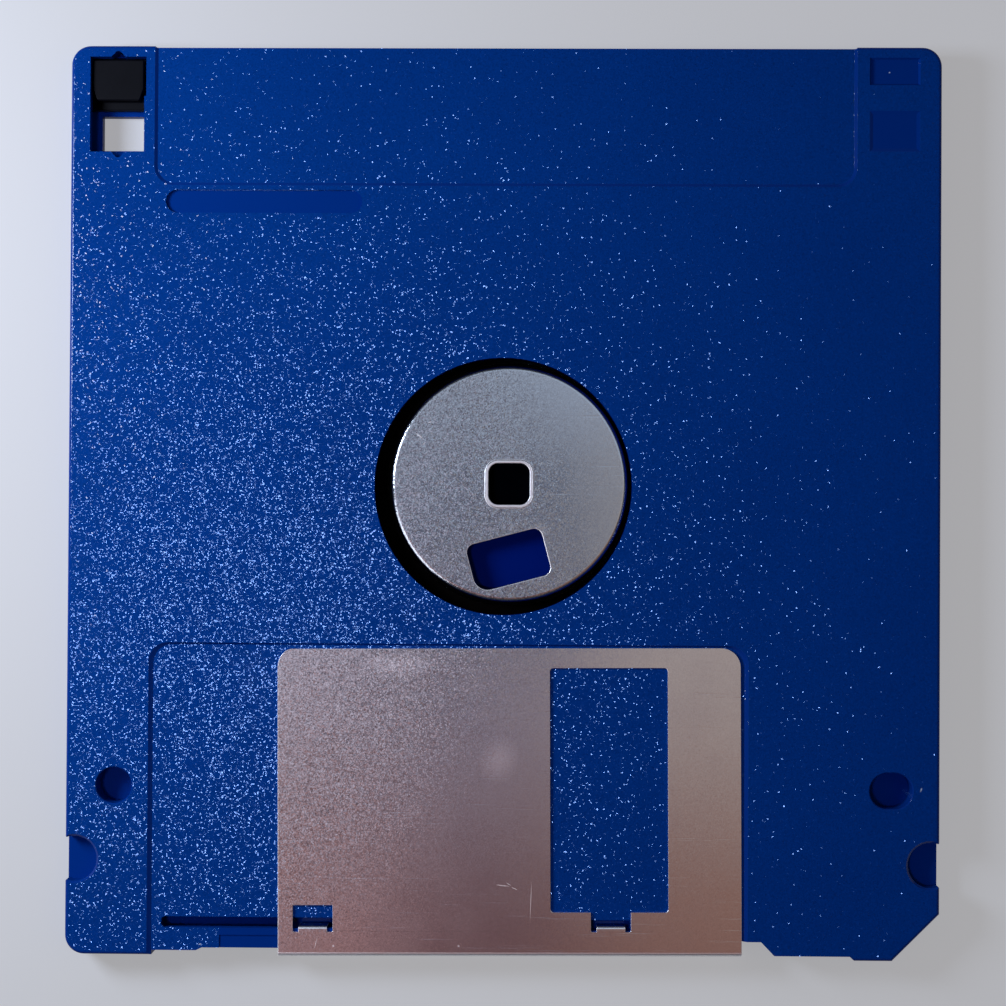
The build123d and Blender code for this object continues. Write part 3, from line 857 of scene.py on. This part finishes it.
def combine(piece: bpy.types.Object, tool: bpy.types.Object, join: Join) -> None:
    """Cuts a tool from a piece or joins it on, and takes the tool away.

    Args:
        piece: the piece that is changed.
        tool: the closed mesh that it is changed by.
        join: whether the tool is joined on or cut out.
    """
    cut = piece.modifiers.new("cut", "BOOLEAN")
    cut.operation = join.value
    cut.object = tool
    cut.solver = "EXACT"
    take_up(piece)
    bpy.ops.object.modifier_apply(modifier=cut.name)
    bpy.data.objects.remove(tool)


def finish_piece(
    piece: bpy.types.Object,
    body: str,
    finish: bpy.types.Material,
    edge: float,
    segments: int = 2,
    edge_finish: bpy.types.Material | None = None,
) -> None:
    """Breaks a piece's sharp edges, brings it from millimetres to metres and dresses it.

    Args:
        piece: the modelled piece.
        body: the CAD body that it rides on, or an empty name for a piece that rides on none.
        finish: its material.
        edge: width of the broken edges, in millimetres, or 0 for a round wire.
        segments: steps across a broken edge.
        edge_finish: the broken edges' own material, where it differs; here the lighter steel,
            partly a painted highlight.
    """
    piece.data.materials.clear()
    piece.data.materials.append(finish)
    if edge_finish:
        piece.data.materials.append(edge_finish)
    take_up(piece)
    if edge:
        broken = piece.modifiers.new("broken_edges", "BEVEL")
        broken.width = edge
        broken.segments = segments
        broken.limit_method = "ANGLE"
        broken.angle_limit = math.radians(BROKEN_PAST)
        broken.material = 1 if edge_finish else -1
        # Clamped, the short edges of a punched corner would leave no width for the others
        broken.use_clamp_overlap = not edge_finish
        bpy.ops.object.modifier_apply(modifier=broken.name)
    bpy.ops.object.shade_smooth_by_angle(angle=math.radians(SMOOTH_UP_TO))
    even = piece.modifiers.new("even_normals", "WEIGHTED_NORMAL")
    even.keep_sharp = True
    bpy.ops.object.modifier_apply(modifier=even.name)
    piece.scale = (MM, MM, MM)
    bpy.ops.object.transform_apply(location=True, rotation=True, scale=True)
    if body:
        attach(piece, body)
    LOG.info("%s: %d faces", piece.name, len(piece.data.polygons))


@dataclass
class DiskHub:
    """Stamped steel cup at the disk's middle, in millimetres."""

    x: float = 0.62
    y: float = 1.76
    top: float = 3.0
    flange_top: float = 1.48
    flange_low: float = 1.18
    sheet: float = 0.3
    foot_radius: float = 12.6
    foot_fillet: float = 0.15
    draft: float = 0.5
    shoulder: float = 0.4
    flange_radius: float = 15.575
    spindle: float = 4.25
    spindle_corner: float = 1.0
    rim_width: float = 0.34
    rim_height: float = 0.06
    rim_root: float = 0.15  # how deep the rim's block is sunk in the cup before they are joined
    slot_length: float = 7.97
    slot_width: float = 4.95
    slot_reach: float = 7.84
    slot_turn: float = 14.8
    slot_corner: float = 0.87
    slot_wide_corner: float = 1.5
    punch: tuple[float, float] = (0.0, 5.0)  # how low and high the holes' tools reach
    broken_edge: float = 0.09
    ring_edges: int = 192
    shoulder_steps: int = 6
    foot_steps: int = 3
    corner_steps: int = 12
    chord: float = 0.05  # more than the middle of a ring's edge lies inside the ring
    steel: RolledSteel = RolledSteel(
        "pressed_steel",
        colour="#c3cad1",
        dull_colour="#b8bfc6",
        marks=(
            Mark(-8.7, 6.7, 1.1, 0.14, -35),
            Mark(-7.6, 8.1, 0.5, 0.12, 20),
            Mark(-8.2, 5.9, 0.35, 0.12, 60),
        ),
        # a painted highlight on the hub's flat
        highlight_patches=(Mark(3.0, -3.5, 5.0, 2.0, 25, soft=1.0),),
        grain_fades_along=(1.0, 0.3, 0.0),
        grain_faded_at=10.0,
    )

    def reach(self, place: Vector) -> float:
        """How far a place lies from the hub's axis."""
        return math.hypot(place.x - self.x, place.y - self.y)

    def choose_ring(self, radius: float, level: float) -> None:
        """Selects the edges of one ring.

        Args:
            radius: the ring's radius.
            level: its height.
        """
        choose(
            Part.EDGE,
            lambda m: abs(self.reach(m) - radius) < self.chord and abs(m.z - level) < SNUG,
        )

    def raise_rings(self, section: tuple[tuple[float, float], ...]) -> None:
        """Extrudes the selected ring through a section, and closes its last ring with a face.

        Args:
            section: each ring's radius and height, from the selected one on.
        """
        for (old, low), (new, high) in zip(section, section[1:]):
            extrude(0, 0, high - low)
            bpy.ops.transform.resize(
                value=(new / old, new / old, 1), center_override=(self.x, self.y, 0)
            )
        bpy.ops.mesh.edge_face_add()

    def cup(self) -> bpy.types.Object:
        """Models the closed cup from one ring, extruded round its section.

        Returns:
            The cup, before its holes.
        """
        bpy.ops.object.select_all(action="DESELECT")
        bpy.ops.mesh.primitive_circle_add(
            vertices=self.ring_edges,
            radius=self.flange_radius,
            location=(self.x, self.y, self.flange_low),
            fill_type="NOTHING",
        )
        piece = bpy.context.object
        piece.name = "steel_hub"
        bpy.ops.object.transform_apply(location=True, rotation=True, scale=True)
        bpy.ops.object.mode_set(mode="EDIT")
        crown = self.foot_radius - self.draft
        bpy.ops.mesh.select_all(action="SELECT")
        self.raise_rings(
            (
                (self.flange_radius, self.flange_low),
                (self.flange_radius, self.flange_top),
                (self.foot_radius, self.flange_top),
                (crown, self.top),
            )
        )
        self.choose_ring(self.flange_radius, self.flange_low)
        self.raise_rings(
            (
                (self.flange_radius, self.flange_low),
                (self.foot_radius - self.sheet, self.flange_low),
                (crown - self.sheet, self.top - self.sheet),
            )
        )
        bpy.ops.mesh.select_all(action="SELECT")
        bpy.ops.mesh.normals_make_consistent(inside=False)
        self.choose_ring(crown, self.top)
        bpy.ops.mesh.bevel(offset=self.shoulder, segments=self.shoulder_steps, affect="EDGES")
        self.choose_ring(self.foot_radius, self.flange_top)
        bpy.ops.mesh.bevel(offset=self.foot_fillet, segments=self.foot_steps, affect="EDGES")
        bpy.ops.object.mode_set(mode="OBJECT")
        return piece

    def rounded_block(
        self,
        name: str,
        middle: tuple[float, float],
        size: tuple[float, float],
        heights: tuple[float, float],
        corner: float,
        turn: float = 0.0,
    ) -> bpy.types.Object:
        """Adds a block with rounded upright edges. A turned one has the slot's one wide corner.

        Args:
            name: the block's name.
            middle: its middle in plan.
            size: its sides in plan.
            heights: its lower and its upper face's height.
            corner: radius of its upright edges.
            turn: degrees that it is turned.

        Returns:
            The block.
        """
        low, high = heights
        block = start_block(
            name,
            (middle[0] - size[0] / 2, middle[1] - size[1] / 2, low),
            (middle[0] + size[0] / 2, middle[1] + size[1] / 2, high),
            turn,
        )
        bpy.ops.object.mode_set(mode="EDIT")
        half = (low + high) / 2
        diagonal = math.hypot(*size) / 2
        if turn:
            lowest = min(vertex.co.y for vertex in block.data.vertices)
            choose(Part.EDGE, lambda m: abs(m.z - half) < SNUG and abs(m.y - lowest) < SNUG)
            bpy.ops.mesh.bevel(
                offset=self.slot_wide_corner, segments=self.corner_steps, affect="EDGES"
            )
        choose(
            Part.EDGE,
            lambda m: abs(m.z - half) < SNUG
            and math.dist((m.x, m.y), middle) > diagonal - SNUG,
        )
        bpy.ops.mesh.bevel(offset=corner, segments=self.corner_steps, affect="EDGES")
        bpy.ops.object.mode_set(mode="OBJECT")
        return block

    def build(self, burnished_highlight: bpy.types.Material) -> bpy.types.Object:
        """Models the hub and dresses it.

        Args:
            burnished_highlight: the lighter finish of its punched edges and coined rim, partly a
                painted highlight.

        Returns:
            The hub, in place of its CAD node.
        """
        piece = self.cup()
        side = self.spindle + 2 * self.rim_width
        axis = (self.x, self.y)
        rim = self.rounded_block(
            "rim",
            axis,
            (side, side),
            (self.top - self.rim_root, self.top + self.rim_height),
            self.spindle_corner + self.rim_width,
        )
        combine(piece, rim, Join.ADD)
        hole = self.rounded_block(
            "hole", axis, (self.spindle, self.spindle), self.punch, self.spindle_corner
        )
        combine(piece, hole, Join.CUT)
        slot = self.rounded_block(
            "slot",
            (self.x, self.y - self.slot_reach),
            (self.slot_length, self.slot_width),
            self.punch,
            self.slot_corner,
            self.slot_turn,
        )
        combine(piece, slot, Join.CUT)
        finish_piece(
            piece,
            "disk",
            self.steel.material(),
            self.broken_edge,
            edge_finish=burnished_highlight,
        )
        # The coined rim's top gets the lighter steel too: a painted highlight round the spindle
        # hole
        coined = (self.top + self.rim_height / 2) * MM
        for face in piece.data.polygons:
            if face.center.z > coined:
                face.material_index = 1
        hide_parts("hub")
        return piece


@dataclass
class FoldedShutter:
    """One strip of steel sheet, folded over the shutter end, in millimetres."""

    left: float = -23.04
    right: float = 24.66
    fold: float = -46.88
    end: float = -15.19
    high: float = 3.25
    low: float = 0.05
    label_side: float = 1.0  # the height that only the label side's leaf lies under
    sheet: float = 0.2
    fold_radius: float = 0.45
    corner: float = 2.0
    corner_steps: int = 12
    skew: float = 0.45  # degrees
    window: tuple[float, float, float, float] = (5.04, 17.16, -42.32, -17.22)
    window_corner: float = 0.4
    window_steps: int = 5
    lance_width: float = 4.12
    slit: float = 0.58
    slit_foot: float = -44.33
    slit_corner: float = 0.2
    slit_steps: int = 4
    bend: float = -44.03
    tongue_radius: float = 0.25
    lances: tuple[tuple[float, float, float], ...] = ((-19.45, -41.58, 1.9), (11.25, -42.32, 1.15))
    bend_steps: int = 6
    broken_edge: float = 0.04
    drawn_low: float = 2.85  # the lowest face that was drawn over the tool
    tongue_lean: float = 0.15  # y of the normal, past which a face belongs to a tongue's bend
    fold_lean: tuple[float, float] = (-0.75, -0.1)  # y of the normal, at the start of the fold
    steel: RolledSteel = RolledSteel(
        "rolled_steel",
        marks=(
            Mark(0.2, -39.55, 1.7, 0.11, -6),
            Mark(1.4, -39.85, 0.8, 0.09, -24),
            Mark(0.8, -39.4, 0.7, 0.08, -30),
            Mark(3.1, -41.2, 4.6, 0.08, 88),
            Mark(-17.2, -45.9, 0.25, 0.3),
            Mark(-4.3, -45.8, 0.25, 0.25),
            Mark(-19.0, -45.6, 1.6, 0.07, 75),
        ),
        # painted highlights on the shutter's face
        highlight_patches=(
            Mark(-0.3, -26.6, 4.4, 5.4, -20, soft=0.8),
            Mark(-10.5, -17.0, 9.0, 3.0, 0, soft=1.0),
        ),
        grain_fades_along=(0.8, -0.6, 0.0),
        grain_faded_at=20.0,
    )

    def window_corners(self) -> list[tuple[float, float]]:
        """The window's corners in plan."""
        left, right, low, high = self.window
        return [(x, y) for x in (left, right) for y in (low, high)]

    def end_corners(self) -> list[tuple[float, float]]:
        """The corners of a leaf's free end in plan."""
        return [(self.left, self.end), (self.right, self.end)]

    def build(self, burnished_highlight: bpy.types.Material) -> bpy.types.Object:
        """Cuts the flat strip, folds it, gives it its thickness and dresses it.

        Args:
            burnished_highlight: the lighter finish of its cut edges, tongue bends and fold, partly
                a painted highlight.

        Returns:
            The shutter, in place of its CAD node.
        """
        start = self.fold + self.fold_radius
        bpy.ops.object.select_all(action="DESELECT")
        bpy.ops.mesh.primitive_plane_add(
            size=1,
            location=((self.left + self.right) / 2, (start + self.end) / 2, self.high),
        )
        piece = bpy.context.object
        piece.name = "folded_shutter"
        piece.scale = (self.right - self.left, self.end - start, 1)
        bpy.ops.object.transform_apply(location=True, rotation=True, scale=True)
        bpy.ops.object.mode_set(mode="EDIT")
        self.score()
        self.punch()
        self.fold_over(start)
        self.turn_tongues()
        bpy.ops.mesh.select_all(action="SELECT")
        bpy.ops.mesh.normals_make_consistent(inside=False)
        bpy.ops.object.mode_set(mode="OBJECT")
        self.thicken(piece)
        finish_piece(
            piece,
            "shutter",
            self.steel.material(),
            self.broken_edge,
            edge_finish=burnished_highlight,
        )
        # The tongues' bends and the start of the fold were drawn over the tool, and get the lighter
        # steel, which paints a highlight along them
        least, most = self.fold_lean
        for face in piece.data.polygons:
            lean = face.normal.y
            drawn = lean > self.tongue_lean or least < lean < most
            if drawn and face.center.z > self.drawn_low * MM:
                face.material_index = 1
        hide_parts("shutter")
        return piece

    def score(self) -> None:
        """Bisects the flat back leaf along every line that it is punched or bent at."""
        left, right, low, high = self.window
        half = self.lance_width / 2
        uprights = {left, right}
        levels = {low, high, self.slit_foot, self.bend}
        for middle, top, _ in self.lances:
            for edge in (middle - half, middle + half - self.slit):
                uprights |= {edge, edge + self.slit}
            levels.add(top)
        score_lines((1, 0, 0), sorted(uprights))
        score_lines((0, 1, 0), sorted(levels))

    def punch(self) -> None:
        """Takes out the window and the lances, and rounds the punched corners."""
        left, right, low, high = self.window
        half = self.lance_width / 2
        root = half - self.slit

        def waste(m: Vector) -> bool:
            """Says whether a face's middle lies in what the punch takes out.

            Args:
                m: the face's middle.

            Returns:
                Whether the punch takes it out.
            """
            if left < m.x < right and low < m.y < high:
                return True
            for middle, top, _ in self.lances:
                across = abs(m.x - middle)
                if across < half and self.slit_foot < m.y < top:
                    return m.y > self.bend or across > root
            return False

        choose(Part.FACE, waste)
        bpy.ops.mesh.delete(type="FACE")
        round_corners(self.window_corners(), self.window_corner, self.window_steps)
        round_corners(self.end_corners(), self.corner, self.corner_steps)
        slits = [
            (middle + side * half, self.slit_foot)
            for middle, _, _ in self.lances
            for side in (-1, 1)
        ]
        round_corners(slits, self.slit_corner, self.slit_steps)

    def fold_over(self, start: float) -> None:
        """Folds the strip down over the end and back along the label face.

        Args:
            start: where the first bend begins.
        """
        choose(Part.EDGE, lambda m: abs(m.y - start) < SNUG)
        upper = self.high - self.fold_radius
        lower = self.low + self.fold_radius
        quarter = {"steps": self.bend_steps, "angle": -math.pi / 2, "axis": (1, 0, 0)}
        bpy.ops.mesh.spin(center=(0, start, upper), **quarter)
        extrude(0, 0, lower - upper)
        bpy.ops.mesh.spin(center=(0, start, lower), **quarter)
        left, right, low, high = self.window
        reached = start
        for place in (low, high, self.end):
            extrude(0, place - reached, 0)
            reached = place
        choose(
            Part.FACE,
            lambda m: m.z < self.label_side and left < m.x < right and low < m.y < high,
        )
        bpy.ops.mesh.delete(type="FACE")
        for corners, radius, steps in (
            (self.window_corners(), self.window_corner, self.window_steps),
            (self.end_corners(), self.corner, self.corner_steps),
        ):
            round_corners(corners, radius, steps, self.label_side)

    def turn_tongues(self) -> None:
        """Turns the lanced tongues down into the groove."""
        root = self.lance_width / 2 - self.slit
        for middle, _, depth in self.lances:
            choose(
                Part.EDGE,
                lambda m: abs(m.y - self.bend) < SNUG
                and abs(m.x - middle) < root - SNUG
                and m.z > self.high - SNUG,
            )
            bpy.ops.mesh.spin(
                steps=self.bend_steps,
                angle=math.pi / 2,
                center=(0, self.bend, self.high - self.tongue_radius),
                axis=(1, 0, 0),
            )
            extrude(0, 0, self.tongue_radius - depth)

    def thicken(self, piece: bpy.types.Object) -> None:
        """Gives the folded strip its sheet thickness and the play's skew.

        Args:
            piece: the strip, one face thick.
        """
        thick = piece.modifiers.new("sheet", "SOLIDIFY")
        thick.thickness = self.sheet
        thick.offset = -1
        thick.use_even_offset = True
        bpy.ops.object.modifier_apply(modifier=thick.name)
        middle = Vector(((self.left + self.right) / 2, (self.fold + self.end) / 2, 0))
        turn = Matrix.Rotation(math.radians(self.skew), 4, "Z")
        piece.matrix_world = Matrix.Translation(middle) @ turn @ Matrix.Translation(-middle)
        bpy.ops.object.transform_apply(location=True, rotation=True, scale=True)


@dataclass
class WriteProtectTab:
    """Sliding black tab: a block that shows in the slot, on a flange, in millimetres."""

    left: float = -42.8
    right: float = -37.56
    foot: float = 41.39
    top: float = 45.57
    low: float = 1.04
    flange_high: float = 1.94
    high: float = 2.92
    flange_side: float = 0.5
    flange_top: float = 0.35
    flange_foot: float = 0.86
    chamfer: float = 0.43
    chamfer_length: float = 1.2
    edge: float = 0.15
    edge_steps: int = 4
    plastic: MattFinish = MattFinish(
        "moulded_acetal_black", "#15151b", "#0e0e14", 0.15, 2.0, 0.004, 0.5, specular=0.12
    )

    def build(self) -> bpy.types.Object:
        """Models the tab from its flange and dresses it.

        Returns:
            The tab, in place of its CAD node.
        """
        piece = start_block(
            "black_tab",
            (self.left - self.flange_side, self.foot - self.flange_foot, self.low),
            (self.right + self.flange_side, self.top + self.flange_top, self.flange_high),
        )
        bpy.ops.object.mode_set(mode="EDIT")
        inset = (self.left + self.chamfer, self.right - self.chamfer)
        score_lines((1, 0, 0), (self.left, *inset, self.right))
        score_lines((0, 1, 0), (self.foot, self.foot + self.chamfer_length, self.top))
        choose(
            Part.FACE,
            lambda m: m.z > self.flange_high - SNUG
            and self.left < m.x < self.right
            and self.foot < m.y < self.top,
        )
        extrude(0, 0, self.high - self.flange_high)
        # The block's two lower corners move in to the inset lines, which chamfers them
        for side, x in ((1, self.left), (-1, self.right)):
            choose(
                Part.VERTEX,
                lambda m: m.z > self.flange_high - SNUG
                and math.dist((m.x, m.y), (x, self.foot)) < SNUG,
            )
            bpy.ops.transform.translate(value=(side * self.chamfer, 0, 0))
        bpy.ops.mesh.select_all(action="SELECT")
        bpy.ops.mesh.remove_doubles(threshold=SNUG)
        bpy.ops.object.mode_set(mode="OBJECT")
        finish_piece(
            piece, "write_tab", self.plastic.material(), self.edge, self.edge_steps
        )
        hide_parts("write_protect_tab")
        return piece


@dataclass
class ShutterSpring:
    """Wire torsion spring between the case's corner and the shutter's tongue, in millimetres."""

    wire: float = 0.3
    coil: float = 1.4
    pitch: float = 0.33
    turns: int = 2
    steps: int = 96  # points round the coil
    middle: tuple[float, float, float] = (-27.495, -37.086, 1.65)
    fixed_end: tuple[float, float] = (-35.27, -42.45)
    free_end: tuple[float, float] = (-21.2, -43.61)
    steel: MattFinish = MattFinish(
        "drawn_spring_wire", "#9a9a9c", "#77777b", 0.1, 2.0, 0.002, 0.35, metallic=1.0
    )

    def touch(self, end: tuple[float, float], side: int) -> float:
        """The turn at which an arm from end meets the coil.

        Args:
            end: the arm's far end.
            side: which side of the coil it meets, +1 or -1.

        Returns:
            The turn about the coil's axis, in radians.
        """
        away = math.dist(end, self.middle[:2])
        start = math.atan2(end[1] - self.middle[1], end[0] - self.middle[0])
        return start + side * math.acos(self.coil / away)

    def route(self) -> list[tuple[float, float, float]]:
        """Works out the wire's line: one arm, the coil and the other arm.

        Returns:
            The points along it, in millimetres.
        """
        first, last = self.touch(self.fixed_end, 1), self.touch(self.free_end, -1)
        sweep = self.turns + (last - first) / math.tau % 1
        rise = self.pitch * sweep
        low = self.middle[2] - rise / 2
        points = [(*self.fixed_end, low)]
        for step in range(self.steps + 1):
            turn = first + math.tau * sweep * step / self.steps
            points.append(
                (
                    self.middle[0] + self.coil * math.cos(turn),
                    self.middle[1] + self.coil * math.sin(turn),
                    low + rise * step / self.steps,
                )
            )
        return [*points, (*self.free_end, low + rise)]

    def build(self) -> bpy.types.Object:
        """Bends the wire and dresses it.

        Returns:
            The spring, in place of its CAD node, reaching from the case to the shutter.
        """
        line = bpy.data.curves.new("wire_spring", "CURVE")
        line.dimensions = "3D"
        line.bevel_depth = self.wire / 2
        line.bevel_resolution = 4
        line.use_fill_caps = True
        spline = line.splines.new("POLY")
        points = self.route()
        spline.points.add(len(points) - 1)
        for point, place in zip(spline.points, points):
            point.co = (*place, 1)
        piece = bpy.data.objects.new("wire_spring", line)
        bpy.context.collection.objects.link(piece)
        take_up(piece)
        bpy.ops.object.convert(target="MESH")
        piece = bpy.context.object
        finish_piece(piece, "", self.steel.material(), 0)
        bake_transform(piece)
        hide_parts("shutter_spring")
        return piece


@dataclass
class KeptSolids:
    """The shells and what lies between them, which keep their CAD meshes."""

    shells: tuple[str, ...] = ("front_shell", "back_shell")
    plastic: SparkErodedAbs = SparkErodedAbs()
    liners: tuple[str, ...] = ("front_liner", "back_liner")
    fibres: MattFinish = MattFinish(
        "nonwoven_rayon", "#d9d6cd", "#b9b5aa", 0.08, 1.5, 0.03, 0.9, stretch=(1.0, 0.4, 1.0)
    )
    lifter: MattFinish = MattFinish("clear_polyester", "#8f8a80", "#7b766c", 0.3, 4, 0.002, 0.3)
    medium: MattFinish = MattFinish(
        "iron_oxide_coat", "#0a0706", "#060403", 0.06, 6, 0.001, 0.3, specular=0.15
    )
    adhesive: MattFinish = MattFinish(
        "pressure_adhesive", "#b59a63", "#9a8252", 0.2, 2, 0.01, 0.5
    )

    def dress(self, frame: dict) -> list[bpy.types.Object]:
        """Gives each CAD node its finish.


        Returns:
            The two shells.
        """
        for nodes, finish in (
            (self.shells, self.plastic),
            (self.liners, self.fibres),
            (("lifter",), self.lifter),
            (("magnetic_disk",), self.medium),
            (("hub_adhesive",), self.adhesive),
        ):
            material = finish.material()
            for node in nodes:
                data = frame["nodes"][node].data
                data.materials.clear()
                data.materials.append(material)
                LOG.info("%s: %s", node, material.name)
        return [frame["nodes"][node] for node in self.shells]


@dataclass(frozen=True)
class Lamp:
    """A square area lamp that faces the object."""

    name: str
    place: tuple[float, float, float]  # m
    size: float  # m, its side
    power: float  # W
    colour: str

    def hang(self) -> bpy.types.Object:
        """Puts the lamp in its place.

        Returns:
            The lamp.
        """
        data = bpy.data.lights.new(self.name, "AREA")
        data.size = self.size
        data.energy = self.power
        data.color = linear(self.colour)[:3]
        lamp = bpy.data.objects.new(self.name, data)
        bpy.context.collection.objects.link(lamp)
        lamp.location = self.place
        lamp.rotation_euler = (-Vector(self.place)).to_track_quat("-Z", "Y").to_euler()
        return lamp


class Lay(Enum):
    """How a tint goes on, by the Mix node's own words."""

    OVER = "MIX"
    FILTER = "MULTIPLY"


@dataclass(frozen=True)
class Tint:
    """A colour that fades in across the overhead card."""

    axis: str
    start: float  # m along the axis, where it begins
    end: float  # m along the axis, where it is whole
    colour: str
    lay: Lay


@dataclass
class Studio:
    """Floor, lamps, world and camera, in metres."""

    floor_colour: str = "#bdbdbf"
    floor_glow: str = "#a1a1a3"
    floor_size: float = 4.0
    camera_place: tuple[float, float, float] = (0.0028, -0.0022, 0.1933)
    camera_turn: tuple[float, float, float] = (0.605, 0.839, 0.335)  # degrees
    lens: float = 66.0
    dome: str = "#c4cbe0"
    horizon: float = 0.1
    zenith: float = 0.05
    zenith_from: float = 0.8  # height on a unit dome where it begins to dim
    zenith_to: float = 0.95
    key: Lamp = Lamp("key_lamp", (-0.125, 0.037, 0.082), 0.05, 0.148, "#dde9ff")
    glint: Lamp = Lamp("glint_lamp", (-0.092, -0.03, 0.4), 0.048, 0.225, "#8fbaff")
    fill: Lamp = Lamp("fill_lamp", (0.28, 0.03, 0.3), 0.3, 0.065, "#ffd6b0")
    rim: Lamp = Lamp("rim_lamp", (-0.12, -0.07, 0.085), 0.11, 0.08, "#eef2ff")
    card_height: float = 0.5
    card_size: float = 0.9
    card_colour: str = "#8e879a"
    card_tints: tuple[Tint, ...] = (
        Tint("Y", -0.055, -0.02, "#b8d0dc", Lay.FILTER),
        Tint("X", -0.03, -0.075, "#ddd7eb", Lay.OVER),
        Tint("X", 0.0, 0.05, "#bbb0ac", Lay.OVER),
        Tint("Y", 0.02, 0.05, "#bfc9dc", Lay.OVER),
        Tint("Y", -0.05, -0.155, "#cca295", Lay.FILTER),
    )

    def build(self, shells: list[bpy.types.Object], metals: list[bpy.types.Object]) -> None:
        """Makes everything that isn't part of the object.

        Args:
            shells: the plastic shells, which alone see the lamp that makes their grain glint.
            metals: the steel pieces, which alone see the overhead card and the rim lamp.
        """
        self.floor()
        self.key.hang()
        self.light_only(self.glint.hang(), shells)
        # Mirrored in the facets, the broad warm lamp would leave brown specks
        self.fill.hang().visible_glossy = False
        for light in (self.rim.hang(), self.overhead_card()):
            self.light_only(light, metals)
        self.world()
        self.camera()

    def light_only(self, light: bpy.types.Object, pieces: list[bpy.types.Object]) -> None:
        """Lets a light fall on some pieces and no others.

        Args:
            light: the lamp or the glowing card.
            pieces: what it lights.
        """
        lit = bpy.data.collections.new(f"{light.name}_pieces")
        for piece in pieces:
            lit.objects.link(piece)
        light.light_linking.receiver_collection = lit

    def overhead_card(self) -> bpy.types.Object:
        """Hangs a glowing card overhead: cooler left, warmer right, dimmer in its middle.

        Returns:
            The card, which only mirrors show.
        """
        bpy.ops.object.select_all(action="DESELECT")
        bpy.ops.mesh.primitive_plane_add(size=self.card_size, location=(0, 0, self.card_height))
        bpy.ops.object.transform_apply(location=True, rotation=True, scale=True)
        card = bpy.context.object
        card.name = "overhead_card"
        card.visible_camera = False
        card.visible_diffuse = False
        card.visible_shadow = False
        material, tree = new_material("card_glow")
        place = add_node(tree, "ShaderNodeTexCoord")
        axes = add_node(tree, "ShaderNodeSeparateXYZ", {0: place.outputs["Object"]})
        tone = linear(self.card_colour)
        for tint in self.card_tints:
            where = add_node(
                tree,
                "ShaderNodeMapRange",
                {"Value": axes.outputs[tint.axis], "From Min": tint.start, "From Max": tint.end},
                interpolation_type="SMOOTHSTEP",
            )
            tone = add_node(
                tree,
                "ShaderNodeMix",
                {"Factor": where.outputs[0], "A": tone, "B": linear(tint.colour)},
                data_type="RGBA",
                blend_type=tint.lay.value,
            ).outputs[2]
        glow = add_node(tree, "ShaderNodeEmission", {"Color": tone})
        add_node(tree, "ShaderNodeOutputMaterial", {"Surface": glow.outputs[0]})
        card.data.materials.append(material)
        return card

    def floor(self) -> None:
        """Lays a plain pale floor, partly lit by itself so that it stays pale in dim corners."""
        bpy.ops.object.select_all(action="DESELECT")
        bpy.ops.mesh.primitive_plane_add(size=self.floor_size, location=(0, 0, 0))
        floor = bpy.context.object
        floor.name = "floor"
        material, tree = new_material("pale_floor")
        shader = add_node(
            tree,
            "ShaderNodeBsdfPrincipled",
            {"Base Color": linear(self.floor_colour), "Roughness": 0.9},
        )
        glow = add_node(tree, "ShaderNodeEmission", {"Color": linear(self.floor_glow)})
        both = add_node(tree, "ShaderNodeAddShader", {0: shader.outputs[0], 1: glow.outputs[0]})
        path = add_node(tree, "ShaderNodeLightPath")
        seen = path.outputs["Is Camera Ray"]
        for ray in ("Is Glossy Ray", "Is Transmission Ray"):
            seen = add_node(
                tree,
                "ShaderNodeMath",
                {0: seen, 1: path.outputs[ray]},
                operation="ADD",
                use_clamp=True,
            ).outputs[0]
        mixed = add_node(
            tree, "ShaderNodeMixShader", {"Fac": seen, 1: shader.outputs[0], 2: both.outputs[0]}
        )
        add_node(tree, "ShaderNodeOutputMaterial", {"Surface": mixed.outputs[0]})
        floor.data.materials.append(material)

    def world(self) -> None:
        """Surrounds it all with a dim dome, dimmest overhead."""
        world = bpy.data.worlds.new("studio_dome")
        bpy.context.scene.world = world
        world.use_nodes = True
        tree = world.node_tree
        tree.nodes.clear()
        place = add_node(tree, "ShaderNodeTexCoord")
        axes = add_node(tree, "ShaderNodeSeparateXYZ", {0: place.outputs["Generated"]})
        strength = add_node(
            tree,
            "ShaderNodeMapRange",
            {
                "Value": axes.outputs["Z"],
                "From Min": self.zenith_from,
                "From Max": self.zenith_to,
                "To Min": self.horizon,
                "To Max": self.zenith,
            },
            interpolation_type="SMOOTHSTEP",
        )
        light = add_node(
            tree,
            "ShaderNodeBackground",
            {"Color": linear(self.dome), "Strength": strength.outputs[0]},
        )
        add_node(tree, "ShaderNodeOutputWorld", {"Surface": light.outputs[0]})

    def camera(self) -> None:
        """Puts the camera over the object, as it stood for the photograph."""
        data = bpy.data.cameras.new("camera")
        data.lens = self.lens
        data.sensor_width = 36
        data.clip_start = 0.01
        camera = bpy.data.objects.new("camera", data)
        bpy.context.collection.objects.link(camera)
        camera.location = self.camera_place
        camera.rotation_euler = [math.radians(turn) for turn in self.camera_turn]
        bpy.context.scene.camera = camera


def main() -> None:
    """Builds the cartridge's pieces round the frame, and the studio round the cartridge."""
    logging.basicConfig(level=logging.INFO)
    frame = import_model()
    bpy.context.scene.view_settings.view_transform = "Standard"
    shells = KeptSolids().dress(frame)
    # The lighter edge steel: part burnished metal, part painted highlight
    burnished_highlight = BURNISHED_HIGHLIGHT_EDGE.material()
    hub = DiskHub().build(burnished_highlight)
    shutter = FoldedShutter().build(burnished_highlight)
    WriteProtectTab().build()
    ShutterSpring().build()
    Studio().build(shells, [hub, shutter])


if __name__ == "__main__":
    main()
